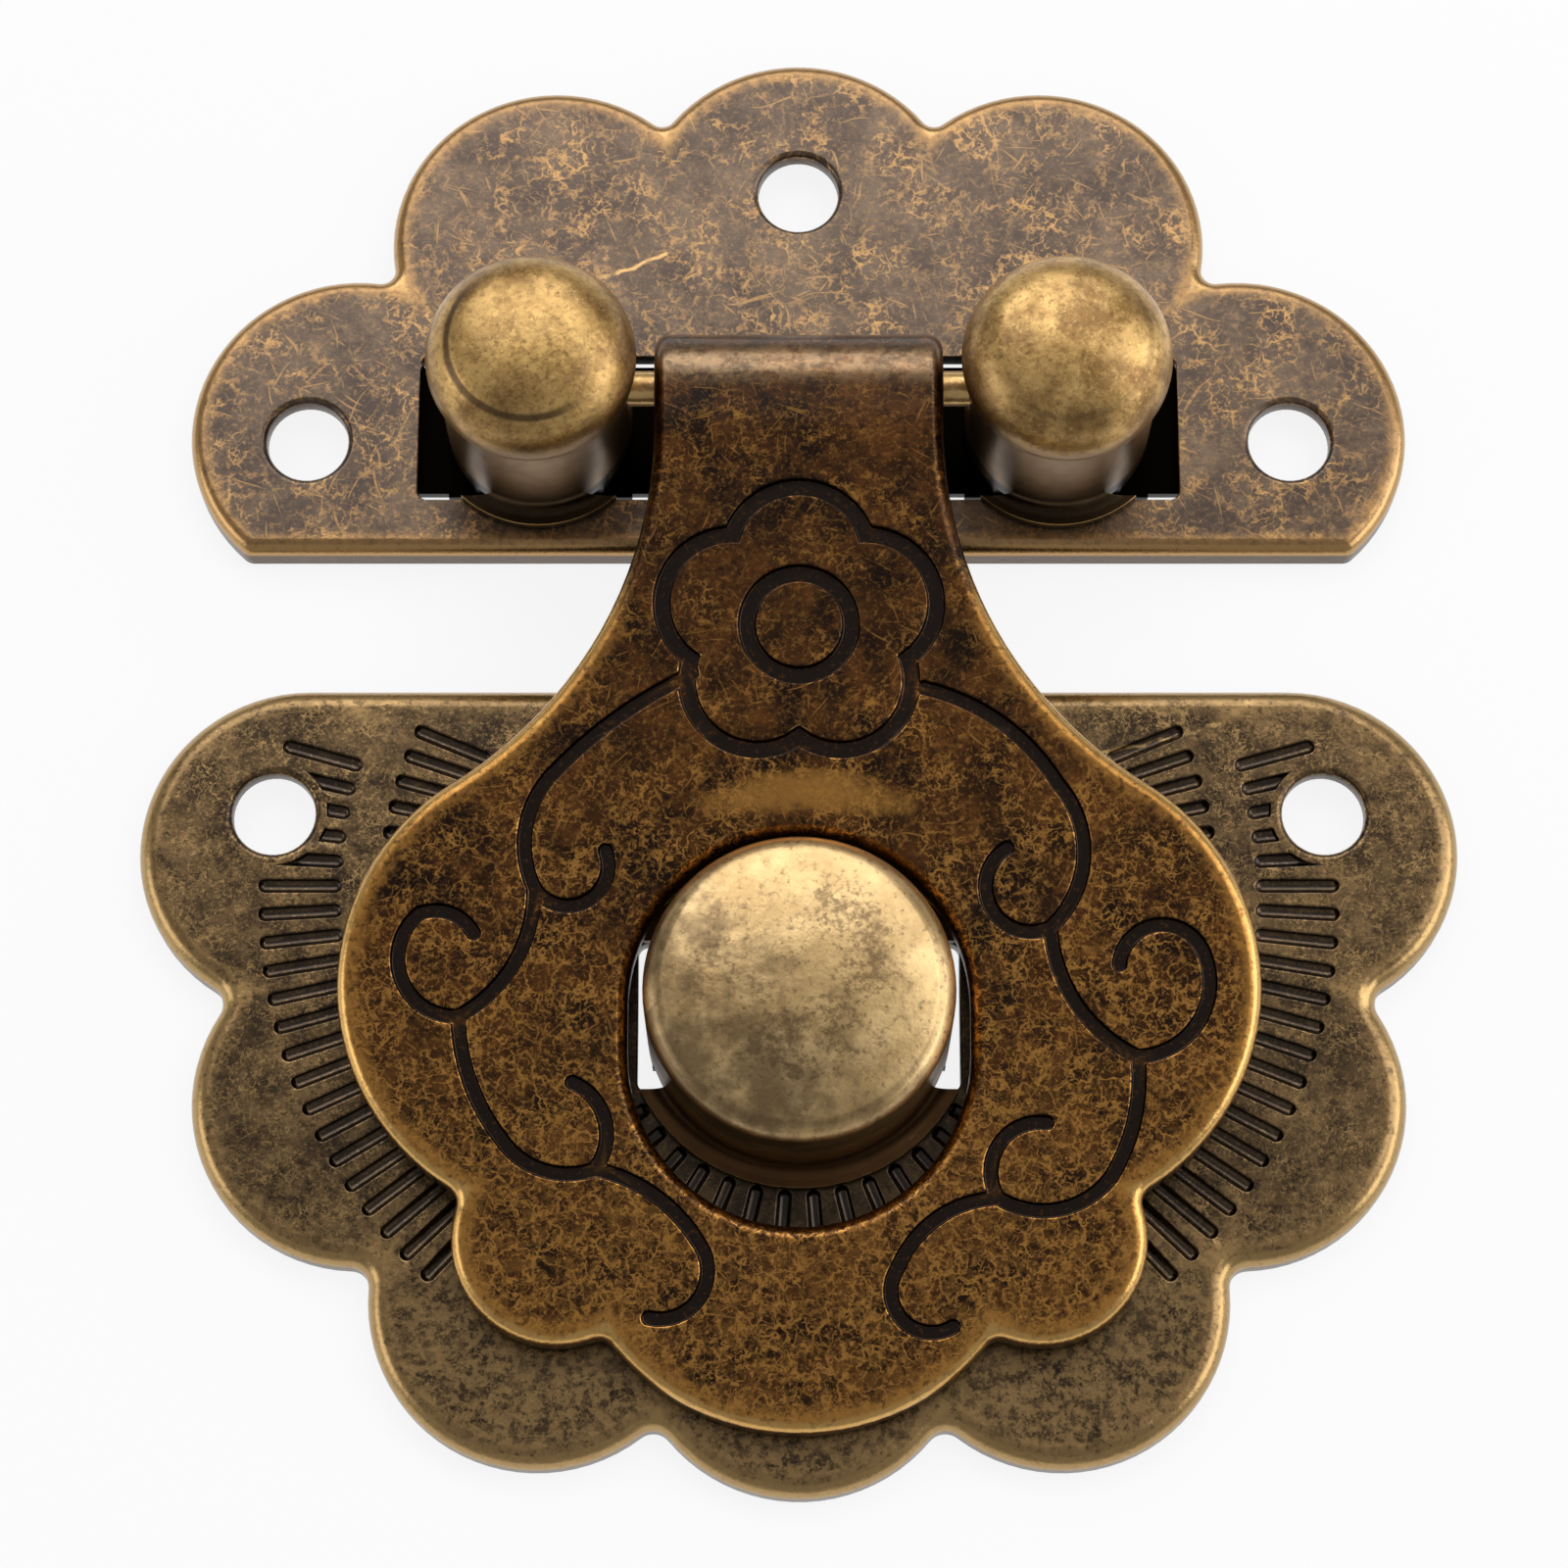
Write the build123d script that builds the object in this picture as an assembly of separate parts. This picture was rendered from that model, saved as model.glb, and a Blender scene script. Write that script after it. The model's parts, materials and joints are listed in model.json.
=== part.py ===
"""A two-plate hasp latch for a small wooden box, shown latched, in millimetres.

The latch lies on its back. Z = 0 is the wood that both plates are screwed to, +Z points out of their faces,
+Y points from the box to its lid and X runs along the hinge pin. The origin is the middle of the whole set.
"""
from build123d import *
import os
from math import cos, inf, radians, sin, sqrt, tan

# Sheet metal
PLATE_SHEET = 0.8
FLAP_SHEET = 1.2
CAP_SHEET = 0.45
RIM_DROP = 0.6
FACE_Z = RIM_DROP + PLATE_SHEET

# Lid plate: a middle lobe, two shoulder lobes and two end lobes above a straight lower edge
LID_LOBE_R = 6.1
LID_TOP_LOBE_Y = 20.95
LID_SHOULDER_LOBE = (9.1, 19.8)
LID_END_LOBE = (16.4, 12.15)
LID_LOWER_EDGE_Y = 7.45
LID_CORNER_R = 0.5
LID_EDGE_R = 0.55

# Strike plate: ears beside a straight upper edge, then lobes down to the foot lobe
STRIKE_LOBE_R = 6.0
STRIKE_EAR = (17.8, -3.75)
STRIKE_MIDDLE_LOBE = (15.6, -12.95)
STRIKE_LOWER_LOBE = (9.15, -20.05)
STRIKE_FOOT_LOBE_Y = -21.05
STRIKE_CORNER_R = 0.7
STRIKE_EDGE_R = 0.75

# Screw holes
SCREW_HOLE_R = 1.5
SCREW_LIP_R = 0.25
LID_TOP_SCREW_Y = 21.7
LID_END_SCREW = (18.15, 11.8)
STRIKE_SCREW = (18.95, -2.5)

# Posts that carry the hinge pin: drawn caps with an overhanging rounded head
POST_X = 9.55
HINGE_Y = 12.5
POST_WALL_R = 3.43
POST_HEAD_R = 3.76
POST_HEAD_ROUND = 2.0
POST_HEAD_Z = 7.9
POST_CROWN_TURN = 72.0
POST_FLANGE = 0.72
POST_FOOT_R = POST_WALL_R + POST_FLANGE
POST_SLOT_LENGTH = 5.6
POST_SLOT_SHIFT = -0.2
POST_SLOT_OUT = 1.05
POST_TAB_WIDTH = 5.0
POST_TAB_LENGTH = 3.3

# Catch button: a wider drawn cap with a straight wall
BUTTON_Y = -10.04
BUTTON_R = 5.45
BUTTON_ROUND = 0.9
BUTTON_HEAD_Z = 5.7
BUTTON_CROWN_TURN = 79.0
BUTTON_FLANGE = 0.8
BUTTON_FOOT_R = BUTTON_R + BUTTON_FLANGE
BUTTON_SLOT_LENGTH = 5.4
BUTTON_SLOT_SHIFT = 0.0
BUTTON_SLOT_OUT = 0.28
BUTTON_TAB_WIDTH = 3.4
BUTTON_TAB_LENGTH = 2.6

# Fits
TAB_CLEARANCE = 0.1
SLOT_CORNER_R = 0.35
PIN_CLEARANCE = 0.05
EYE_CLEARANCE = 0.1

# Hinge pin
PIN_R = 0.65
PIN_Z = 4.86
PIN_REACH = 2.4
PIN_CHAMFER = 0.15

# Flap: a rolled eye, a neck that flares out, and a lobed disc that slopes down to the strike plate
EYE_INNER_R = PIN_R + EYE_CLEARANCE
EYE_OUTER_R = EYE_INNER_R + FLAP_SHEET
EYE_LIP = 0.2
NECK_HALF_WIDTH = 5.2
NECK_SLOPE = 5.0
NECK_LENGTH = 13.1
DISC_SLOPE = 6.6
BEND_R = 25.0
FLARE_R = 15.05
FLAP_SIDE_LOBE = (7.9, -9.48)
FLAP_SIDE_LOBE_R = 8.3
FLAP_SMALL_LOBE = (8.4, -18.3)
FLAP_SMALL_LOBE_R = 3.7
FLAP_FOOT_LOBE_Y = -16.55
FLAP_FOOT_LOBE_R = 8.45
FLAP_CORNER_R = 0.6
FLAP_EDGE_R = 0.5
FLAP_HOLE_CLEARANCE = 0.55
FLAP_HOLE_R = BUTTON_R + FLAP_HOLE_CLEARANCE
FLAP_HOLE_Y = -11.08
FLAP_HOLE_STRAIGHT = 1.67

# Engraving on the flap: a five-petalled flower with a ring, and a scroll down each side
GROOVE_DEPTH = 0.3
FLOWER_Y = 3.2
PETALS = 5
PETAL_R = 2.5
PETAL_OUT = 2.5
FLOWER_RING_R = 1.85
FLOWER_GROOVE = 0.6
SCROLL_GROOVE = 0.5

# Each scroll is a run of arcs, given by their start, a point on the way and their end
LEFT_SCROLL = (
    ((-3.8, 1.4), (-6.6, -0.3), (-8.8, -2.3)),
    ((-8.8, -2.3), (-9.6, -4.0), (-9.3, -6.2)),
    ((-9.3, -6.2), (-7.5, -6.7), (-6.8, -4.9)),
    ((-9.3, -6.2), (-10.0, -8.9), (-11.9, -10.7)),
    ((-11.9, -10.7), (-14.0, -9.1), (-13.3, -7.1)),
    ((-13.3, -7.1), (-12.2, -7.1), (-11.4, -7.8)),
    ((-11.9, -10.7), (-11.5, -12.9), (-10.4, -14.9)),
    ((-10.4, -14.9), (-9.0, -16.0), (-7.1, -16.0)),
    ((-7.1, -16.0), (-6.7, -14.6), (-7.9, -13.0)),
    ((-7.1, -16.0), (-5.0, -16.9), (-3.5, -18.5)),
    ((-3.5, -18.5), (-3.6, -20.6), (-5.2, -21.1)),
)
RIGHT_SCROLL = (
    ((4.4, 0.9), (7.2, -0.4), (9.1, -2.5)),
    ((9.1, -2.5), (10.0, -5.0), (8.8, -7.6)),
    ((8.8, -7.6), (6.6, -6.6), (7.3, -4.8)),
    ((8.8, -7.6), (9.7, -10.3), (11.8, -12.1)),
    ((11.8, -12.1), (14.0, -10.8), (14.2, -8.6)),
    ((14.2, -8.6), (12.6, -7.5), (11.2, -8.9)),
    ((11.8, -12.1), (11.7, -14.1), (10.8, -16.3)),
    ((10.8, -16.3), (8.9, -17.4), (6.9, -17.0)),
    ((6.9, -17.0), (6.9, -15.2), (8.6, -14.4)),
    ((6.9, -17.0), (4.9, -17.6), (3.4, -19.4)),
    ((3.4, -19.4), (3.7, -21.3), (5.3, -21.4)),
)

# Stamped strokes on the strike plate: two fans on each side and a ring round the button
STROKE_WIDTH = 0.5
STROKE_DEPTH = 0.2
STROKE_SCREW_GAP = 0.2
FAN_Y = -5.2
FAN_STROKE_LENGTH = 3.0
FAN_STROKES_UP = 5
FAN_STROKES_DOWN = 15
INNER_FAN_R = 12.1
INNER_FAN_PITCH = 3.8
INNER_FAN_TURN = 3.8
OUTER_FAN_R = 16.4
OUTER_FAN_PITCH = 3.15
OUTER_FAN_TURN = 0.0
RING_STROKE_LENGTH = 2.0
RING_STROKES = 40


def both_sides(place):
    """The place given on the right, and its mirror on the left."""
    return [(-place[0], place[1]), place]


def rounded_corners(outline, radius, below=inf):
    """The outline with its corners rounded, or only those lower than a height."""
    return fillet([corner for corner in outline.vertices() if corner.Y < below], radius)


def lid_outline(inset=0.0):
    """The lid plate's lobes above its straight edge, drawn in by inset."""
    lower = LID_LOWER_EDGE_Y + inset
    left_end, right_end = both_sides(LID_END_LOBE)
    left_shoulder, right_shoulder = both_sides(LID_SHOULDER_LOBE)
    top = (0.0, LID_TOP_LOBE_Y)
    centres = [right_end, right_shoulder, top, left_shoulder, left_end]
    lobes = [Pos(*centre) * Circle(LID_LOBE_R - inset) for centre in centres]
    middle = Polygon((right_end[0], lower), *centres, (left_end[0], lower), align=None)
    width = 2 * (LID_END_LOBE[0] + LID_LOBE_R)
    below = Pos(0, lower) * Rectangle(width, 2 * LID_LOBE_R, align=(Align.CENTER, Align.MAX))
    return rounded_corners(middle + lobes - below, LID_CORNER_R)


def strike_outline(inset=0.0):
    """The strike plate's lobes below its straight edge, drawn in by inset."""
    upper = STRIKE_EAR[1] + STRIKE_LOBE_R - inset
    left_ear, right_ear = both_sides(STRIKE_EAR)
    left_middle, right_middle = both_sides(STRIKE_MIDDLE_LOBE)
    left_lower, right_lower = both_sides(STRIKE_LOWER_LOBE)
    foot = (0.0, STRIKE_FOOT_LOBE_Y)
    centres = [left_ear, left_middle, left_lower, foot, right_lower, right_middle, right_ear]
    lobes = [Pos(*centre) * Circle(STRIKE_LOBE_R - inset) for centre in centres]
    middle = Polygon((left_ear[0], upper), *centres, (right_ear[0], upper), align=None)
    return rounded_corners(middle + lobes, STRIKE_CORNER_R, below=STRIKE_EAR[1])


def rimmed_plate(outline, edge_radius):
    """Sheet whose edge is rounded over and turned down to the wood all round."""
    blank = extrude(outline(), FACE_Z)
    blank = fillet(blank.faces().sort_by(Axis.Z)[-1].edges(), edge_radius)
    return blank - extrude(outline(PLATE_SHEET), RIM_DROP)


def pierced_for_screws(plate, places):
    """The plate with its screw holes, their front edges rounded."""
    plate = plate - [Pos(*place) * extrude(Circle(SCREW_HOLE_R), FACE_Z) for place in places]
    front_edges = plate.edges().group_by(Axis.Z)[-1]
    return fillet(front_edges.filter_by(lambda edge: edge.is_closed), SCREW_LIP_R)


def tab_reach(wall_radius, tab_width):
    """How near to the cap's axis the inner corners of a curved tab come."""
    return sqrt((wall_radius - CAP_SHEET) ** 2 - (tab_width / 2) ** 2)


def tab_slots(wall_radius, tab_width, out, length, shift):
    """The pair of slots that a cap's tabs go through, placed round the cap's axis and shifted along Y."""
    near = tab_reach(wall_radius, tab_width) - TAB_CLEARANCE
    far = wall_radius + out
    slot = extrude(RectangleRounded(far - near, length, SLOT_CORNER_R), FACE_Z)
    return [Pos(side * (near + far) / 2, shift) * slot for side in (-1, 1)]


def on_arc(centre, radius, angle):
    """The point of an arc at an angle from its X axis."""
    return (centre[0] + radius * cos(angle), centre[1] + radius * sin(angle))


def cap_solid(wall_radius, head_radius, round_over, head_z, crown_turn, inset=0.0):
    """A cap turned about its axis and standing on the plate's face, drawn in by inset all over.

    Its wall meets a round-over, which turns through crown_turn degrees into a shallow crown.
    """
    wall = wall_radius - inset
    ball = round_over - inset
    ball_x = head_radius - round_over
    turn = radians(crown_turn)
    ball_centre = (ball_x, head_z)
    crown_centre = (0.0, head_z - ball_x * tan(turn))
    crown_r = ball + ball_x / cos(turn)
    bead_drop = sqrt(max(ball**2 - (wall - ball_x) ** 2, 0.0))
    bead_start = (wall, head_z - bead_drop)
    shoulder = on_arc(ball_centre, ball, turn)
    top = (0.0, crown_centre[1] + crown_r)
    section = [
        Line((0.0, FACE_Z), (wall, FACE_Z)),
        Line((wall, FACE_Z), bead_start),
        ThreePointArc(bead_start, on_arc(ball_centre, ball, turn / 2), shoulder),
        ThreePointArc(shoulder, on_arc(crown_centre, crown_r, (turn + radians(90)) / 2), top),
        Line(top, (0.0, FACE_Z)),
    ]
    return revolve(Plane.XZ * make_face(section), Axis.Z)


def foot_flange(wall_radius, foot_radius, slot_length, slot_shift):
    """The flange round a cap's foot, trimmed away beside the slots."""
    inner = wall_radius - CAP_SHEET / 2
    top = FACE_Z + CAP_SHEET
    hollow = foot_radius - wall_radius - CAP_SHEET / 2
    section = [
        Line((inner, FACE_Z), (foot_radius, FACE_Z)),
        Line((foot_radius, FACE_Z), (foot_radius, top)),
        Line((foot_radius, top), (wall_radius + hollow, top)),
        RadiusArc((wall_radius + hollow, top), (wall_radius, top + hollow), hollow),
        Line((wall_radius, top + hollow), (inner, top + hollow)),
        Line((inner, top + hollow), (inner, FACE_Z)),
    ]
    ring = revolve(Plane.XZ * make_face(section), Axis.Z)
    return ring - Pos(0, slot_shift) * Box(2 * foot_radius, slot_length, 2 * (top + hollow))


def clinched_tab(wall_radius, tab_width, leaf_end):
    """A tab that runs from the wall down through the plate, its leaf bent flat as far as leaf_end."""
    back = RIM_DROP - CAP_SHEET
    wall = extrude(Circle(wall_radius) - Circle(wall_radius - CAP_SHEET), FACE_Z - back)
    leg = Pos(0, 0, back) * wall & Pos(wall_radius, 0) * Box(wall_radius, tab_width, 2 * FACE_Z)
    heel = wall_radius - CAP_SHEET / 2
    leaf = Pos((heel + leaf_end) / 2, 0) * Rectangle(abs(leaf_end - heel), tab_width)
    bent = Pos(0, 0, back) * extrude(leaf, CAP_SHEET)
    return leg + bent


def drawn_cap(shape, foot_radius, slot_length, slot_shift, tab_width, leaf_end):
    """A hollow cap drawn from sheet, with a foot flange and a clinched tab on each side."""
    wall_radius = shape[0]
    outside = cap_solid(*shape) + foot_flange(wall_radius, foot_radius, slot_length, slot_shift)
    tab = clinched_tab(wall_radius, tab_width, leaf_end)
    return outside - cap_solid(*shape, inset=CAP_SHEET) + tab + Rot(Z=180) * tab


def hinge_post(side):
    """The post on one side, bored through its inner wall for the pin; its tabs are bent outwards."""
    shape = (POST_WALL_R, POST_HEAD_R, POST_HEAD_ROUND, POST_HEAD_Z, POST_CROWN_TURN)
    leaf_end = POST_WALL_R + POST_TAB_LENGTH
    post = drawn_cap(shape, POST_FOOT_R, POST_SLOT_LENGTH, POST_SLOT_SHIFT, POST_TAB_WIDTH, leaf_end)
    bore = extrude(Plane.YZ * Circle(PIN_R + PIN_CLEARANCE), -side * POST_FOOT_R)
    return Pos(side * POST_X, HINGE_Y) * (post - Pos(0, 0, PIN_Z) * bore)


def hinge_pin():
    """The wire pin, its ends trapped inside the posts."""
    half = POST_X - POST_WALL_R + CAP_SHEET + PIN_REACH
    pin = extrude(Plane.YZ * Circle(PIN_R), half, both=True)
    return Pos(0, HINGE_Y, PIN_Z) * chamfer(pin.edges().filter_by(GeomType.CIRCLE), PIN_CHAMFER)


def catch_button():
    """The button that the flap's hole drops over; its tabs are bent inwards."""
    shape = (BUTTON_R, BUTTON_R, BUTTON_ROUND, BUTTON_HEAD_Z, BUTTON_CROWN_TURN)
    leaf_end = BUTTON_R - BUTTON_TAB_LENGTH
    slot = (BUTTON_SLOT_LENGTH, BUTTON_SLOT_SHIFT)
    return Pos(0, BUTTON_Y) * drawn_cap(shape, BUTTON_FOOT_R, *slot, BUTTON_TAB_WIDTH, leaf_end)


def lid_plate():
    """The upper plate, pierced for its screws and for the posts' tabs."""
    plate = rimmed_plate(lid_outline, LID_EDGE_R)
    plate = pierced_for_screws(plate, [(0.0, LID_TOP_SCREW_Y), *both_sides(LID_END_SCREW)])
    slots = tab_slots(POST_WALL_R, POST_TAB_WIDTH, POST_SLOT_OUT, POST_SLOT_LENGTH, POST_SLOT_SHIFT)
    return plate - [Pos(side * POST_X, HINGE_Y) * slot for side in (-1, 1) for slot in slots]


def stroke(near, length):
    """One stamped stroke along X, starting at a radius of near: a round groove with round ends."""
    radius = STROKE_DEPTH / 2 + STROKE_WIDTH**2 / (8 * STROKE_DEPTH)
    run = length - STROKE_WIDTH
    rod = Rot(Y=90) * Cylinder(radius, run)
    ends = [Pos(side * run / 2, 0) * Sphere(radius) for side in (-1, 1)]
    return Pos(near + length / 2, 0, FACE_Z + radius - STROKE_DEPTH) * (rod + ends)


def fan_strokes(near, pitch, start_turn):
    """A fan of strokes on each side, up and down from start_turn."""
    line = stroke(near, FAN_STROKE_LENGTH)
    steps = range(-FAN_STROKES_DOWN, FAN_STROKES_UP + 1)
    turns = [start_turn + step * pitch for step in steps]
    both_turns = turns + [180 - turn for turn in turns]
    return [Pos(0, FAN_Y) * Rot(Z=turn) * line for turn in both_turns]


def ring_strokes():
    """The ring of strokes round the button's foot, broken beside its slots."""
    turns = [(index + 0.5) * 360 / RING_STROKES for index in range(RING_STROKES)]
    slot_end = BUTTON_SLOT_LENGTH / 2 + STROKE_WIDTH
    clear = [turn for turn in turns if BUTTON_FOOT_R * abs(sin(radians(turn))) > slot_end]
    line = stroke(BUTTON_FOOT_R, RING_STROKE_LENGTH)
    return [Pos(0, BUTTON_Y) * Rot(Z=turn) * line for turn in clear]


def stamping():
    """All the strokes of the strike plate, with a plain land left round each screw hole."""
    land = extrude(Circle(SCREW_HOLE_R + SCREW_LIP_R + STROKE_SCREW_GAP), 2 * FACE_Z)
    inner_fan = fan_strokes(INNER_FAN_R, INNER_FAN_PITCH, INNER_FAN_TURN)
    outer_fan = fan_strokes(OUTER_FAN_R, OUTER_FAN_PITCH, OUTER_FAN_TURN)
    lands = [Pos(*place) * land for place in both_sides(STRIKE_SCREW)]
    return Part() + inner_fan + outer_fan - lands + ring_strokes()


def strike_plate():
    """The lower plate, pierced for its screws and the button's tabs, with its stamped strokes."""
    plate = rimmed_plate(strike_outline, STRIKE_EDGE_R)
    plate = pierced_for_screws(plate, both_sides(STRIKE_SCREW))
    slots = tab_slots(BUTTON_R, BUTTON_TAB_WIDTH, BUTTON_SLOT_OUT, BUTTON_SLOT_LENGTH, BUTTON_SLOT_SHIFT)
    plate = plate - [Pos(0, BUTTON_Y) * slot for slot in slots]
    return plate - stamping()


def flap_outline():
    """The flap in plan: a straight neck, flares tangent to it and to the side lobes, and the lobed disc."""
    flare_x = NECK_HALF_WIDTH + FLARE_R
    across = flare_x - FLAP_SIDE_LOBE[0]
    apart = FLARE_R + FLAP_SIDE_LOBE_R
    up = sqrt(apart**2 - across**2)
    flare_y = FLAP_SIDE_LOBE[1] + up
    joint_x = FLAP_SIDE_LOBE[0] + across * FLAP_SIDE_LOBE_R / apart
    joint_y = FLAP_SIDE_LOBE[1] + up * FLAP_SIDE_LOBE_R / apart
    top = HINGE_Y + EYE_OUTER_R
    standing = (Align.CENTER, Align.MIN)
    shoulders = Pos(0, joint_y) * Rectangle(2 * joint_x, flare_y - joint_y, align=standing)
    shoulders -= [Pos(x, flare_y) * Circle(FLARE_R) for x in (-flare_x, flare_x)]
    neck = Pos(0, flare_y) * Rectangle(2 * NECK_HALF_WIDTH, top - flare_y, align=standing)
    left_side, right_side = both_sides(FLAP_SIDE_LOBE)
    left_small, right_small = both_sides(FLAP_SMALL_LOBE)
    foot = (0.0, FLAP_FOOT_LOBE_Y)
    lobes = [Pos(*centre) * Circle(FLAP_SIDE_LOBE_R) for centre in (left_side, right_side)]
    lobes += [Pos(*centre) * Circle(FLAP_SMALL_LOBE_R) for centre in (left_small, right_small)]
    lobes.append(Pos(*foot) * Circle(FLAP_FOOT_LOBE_R))
    ring = [(-joint_x, joint_y), left_side, left_small, foot, right_small, right_side, (joint_x, joint_y)]
    outline = Polygon(*ring, align=None) + shoulders + neck + lobes
    return rounded_corners(outline, FLAP_CORNER_R, below=FLAP_SIDE_LOBE[1])


def flap_hole():
    """The upright oval hole in plan."""
    return Pos(0, FLAP_HOLE_Y) * Rot(Z=90) * SlotCenterToCenter(FLAP_HOLE_STRAIGHT, 2 * FLAP_HOLE_R)


def neck_plane():
    """The plane across the hinge pin, its X axis up along the neck and its Y axis out of the neck's front."""
    slope = radians(NECK_SLOPE)
    return Plane(origin=(0, HINGE_Y, PIN_Z), x_dir=(0, cos(slope), sin(slope)), z_dir=(1, 0, 0))


def bent_sheet(front, back):
    """Sheet that runs along the neck and bends down along the disc, between two heights over the pin."""
    bend = radians(DISC_SLOPE - NECK_SLOPE)
    length = HINGE_Y - FLAP_FOOT_LOBE_Y + FLAP_FOOT_LOBE_R
    fall = length * tan(bend)
    lag = (front - back) * tan(bend / 2)
    front_bend = (-NECK_LENGTH, front)
    back_bend = (-NECK_LENGTH + lag, back)
    front_end = (-NECK_LENGTH - length, front - fall)
    back_end = (-NECK_LENGTH - length, back - fall - lag * tan(bend))
    strip = Polygon((0, front), front_bend, front_end, back_end, back_bend, (0, back), align=None)
    strip = fillet(strip.vertices().sort_by_distance(front_bend)[:2], BEND_R)
    width = FLAP_SIDE_LOBE[0] + FLAP_SIDE_LOBE_R + FLAP_SHEET
    return extrude(neck_plane() * strip, width, both=True)


def rolled_eye():
    """The eye rolled round the pin, open under the neck, with its ends rounded over."""
    mouth_height = EYE_INNER_R - EYE_LIP
    mouth = Pos(0, EYE_LIP) * Rectangle(EYE_OUTER_R, mouth_height, align=(Align.MAX, Align.MIN))
    ring = Circle(EYE_OUTER_R) - Circle(EYE_INNER_R) - mouth
    eye = extrude(neck_plane() * ring, NECK_HALF_WIDTH, both=True)
    return fillet(eye.edges().filter_by(GeomType.CIRCLE).group_by(SortBy.RADIUS)[-1], FLAP_EDGE_R)


def engraving():
    """The flower and the scrolls in plan."""
    half = FLOWER_GROOVE / 2
    petals = [Rot(Z=90 + index * 360 / PETALS) * Pos(PETAL_OUT, 0) for index in range(PETALS)]
    outside = Circle(PETAL_OUT) + [petal * Circle(PETAL_R + half) for petal in petals]
    inside = Circle(PETAL_OUT) + [petal * Circle(PETAL_R - half) for petal in petals]
    ring = Circle(FLOWER_RING_R + half) - Circle(FLOWER_RING_R - half)
    lines = Pos(0, FLOWER_Y) * (outside - inside + ring)
    for start, way, end in LEFT_SCROLL + RIGHT_SCROLL:
        lines += trace(ThreePointArc(start, way, end), SCROLL_GROOVE)
        lines += [Pos(*place) * Circle(SCROLL_GROOVE / 2) for place in (start, end)]
    return lines


def hasp_flap():
    """The flap: bent sheet cut to its outline, front edges rounded, eye rolled and front engraved."""
    height = PIN_Z + 2 * EYE_OUTER_R
    flap = bent_sheet(EYE_OUTER_R, EYE_INNER_R) & extrude(flap_outline() - flap_hole(), height)
    steepest = cos(radians(2 * DISC_SLOPE))
    front = ShapeList(face for face in flap.faces() if face.normal_at().Z > steepest)
    flap = fillet(front.edges().filter_by(Axis.X, reverse=True), FLAP_EDGE_R)
    skin = bent_sheet(EYE_OUTER_R + FLAP_SHEET, EYE_OUTER_R - GROOVE_DEPTH)
    return flap + rolled_eye() - (extrude(engraving(), height) & skin)


NODES = {
    "lid_plate": lid_plate(),
    "left_post": hinge_post(-1),
    "right_post": hinge_post(1),
    "hinge_pin": hinge_pin(),
    "hasp_flap": hasp_flap(),
    "strike_plate": strike_plate(),
    "catch_button": catch_button(),
}

os.makedirs("parts", exist_ok=True)
for name, shape in NODES.items():
    export_step(shape, f"parts/{name}.step")
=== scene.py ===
"""Looks of an antique-brass hasp latch: its softened sheet metal, its finishes and its studio.

Everything is in metres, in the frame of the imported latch: +Z out of its faces, +Y from box to lid.
"""

import json
import logging
import math
from abc import ABC, abstractmethod
from dataclasses import dataclass, field, replace
from enum import Enum
from typing import Optional, Union

import bpy
from bpy.types import Material, Node, NodeSocket, NodeTree, Object
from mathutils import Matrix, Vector
from mathutils.bvhtree import BVHTree

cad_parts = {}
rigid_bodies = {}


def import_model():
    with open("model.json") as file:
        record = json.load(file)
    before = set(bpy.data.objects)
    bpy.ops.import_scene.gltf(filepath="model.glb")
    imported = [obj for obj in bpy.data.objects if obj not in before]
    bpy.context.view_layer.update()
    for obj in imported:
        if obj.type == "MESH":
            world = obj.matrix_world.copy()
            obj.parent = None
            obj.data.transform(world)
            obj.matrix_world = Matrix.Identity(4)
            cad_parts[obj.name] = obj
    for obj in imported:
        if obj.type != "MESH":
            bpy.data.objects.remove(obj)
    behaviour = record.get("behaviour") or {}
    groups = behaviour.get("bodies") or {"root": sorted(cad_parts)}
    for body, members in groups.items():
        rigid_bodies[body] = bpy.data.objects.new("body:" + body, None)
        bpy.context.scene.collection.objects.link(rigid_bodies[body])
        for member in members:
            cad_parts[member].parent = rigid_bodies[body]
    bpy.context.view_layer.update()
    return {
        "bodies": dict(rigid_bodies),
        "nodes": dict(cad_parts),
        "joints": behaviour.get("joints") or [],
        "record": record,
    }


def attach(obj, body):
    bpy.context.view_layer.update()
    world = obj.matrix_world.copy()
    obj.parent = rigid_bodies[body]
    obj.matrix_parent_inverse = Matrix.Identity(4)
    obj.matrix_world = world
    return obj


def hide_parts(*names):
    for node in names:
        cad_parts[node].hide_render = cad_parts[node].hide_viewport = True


LOG = logging.getLogger("hasp_latch")
# The attribute that holds how far each point is walled in
HOLLOW = "hollow"
MM = 0.001
ORIGIN = (0.0, 0.0, 0.0)
# Millimetres that no worn rim reaches inwards, and that no outline reaches from the middle
INLAND = 10.0
FAR = 99.0
BLACK = (0.0, 0.0, 0.0, 1.0)
Colour = tuple[float, float, float, float]
Span = tuple[float, float]
Vector3 = tuple[float, float, float]
Feed = Union[NodeSocket, float, tuple]


def shade(red: int, green: int, blue: int) -> Colour:
    """Turns a colour as a screen shows it into the shader's linear one.

    Args:
        red: Red from 0 to 255.
        green: Green from 0 to 255.
        blue: Blue from 0 to 255.

    Returns:
        The linear colour with full alpha.
    """
    def linear(step: int) -> float:
        """One channel, by the screen's own curve."""
        share = step / 255
        return share / 12.92 if share <= 0.04045 else ((share + 0.055) / 1.055) ** 2.4

    return (linear(red), linear(green), linear(blue), 1.0)


class Body(Enum):
    """The bodies that the latch moves as."""

    PLATES = "plates"
    FLAP = "flap"


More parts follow.
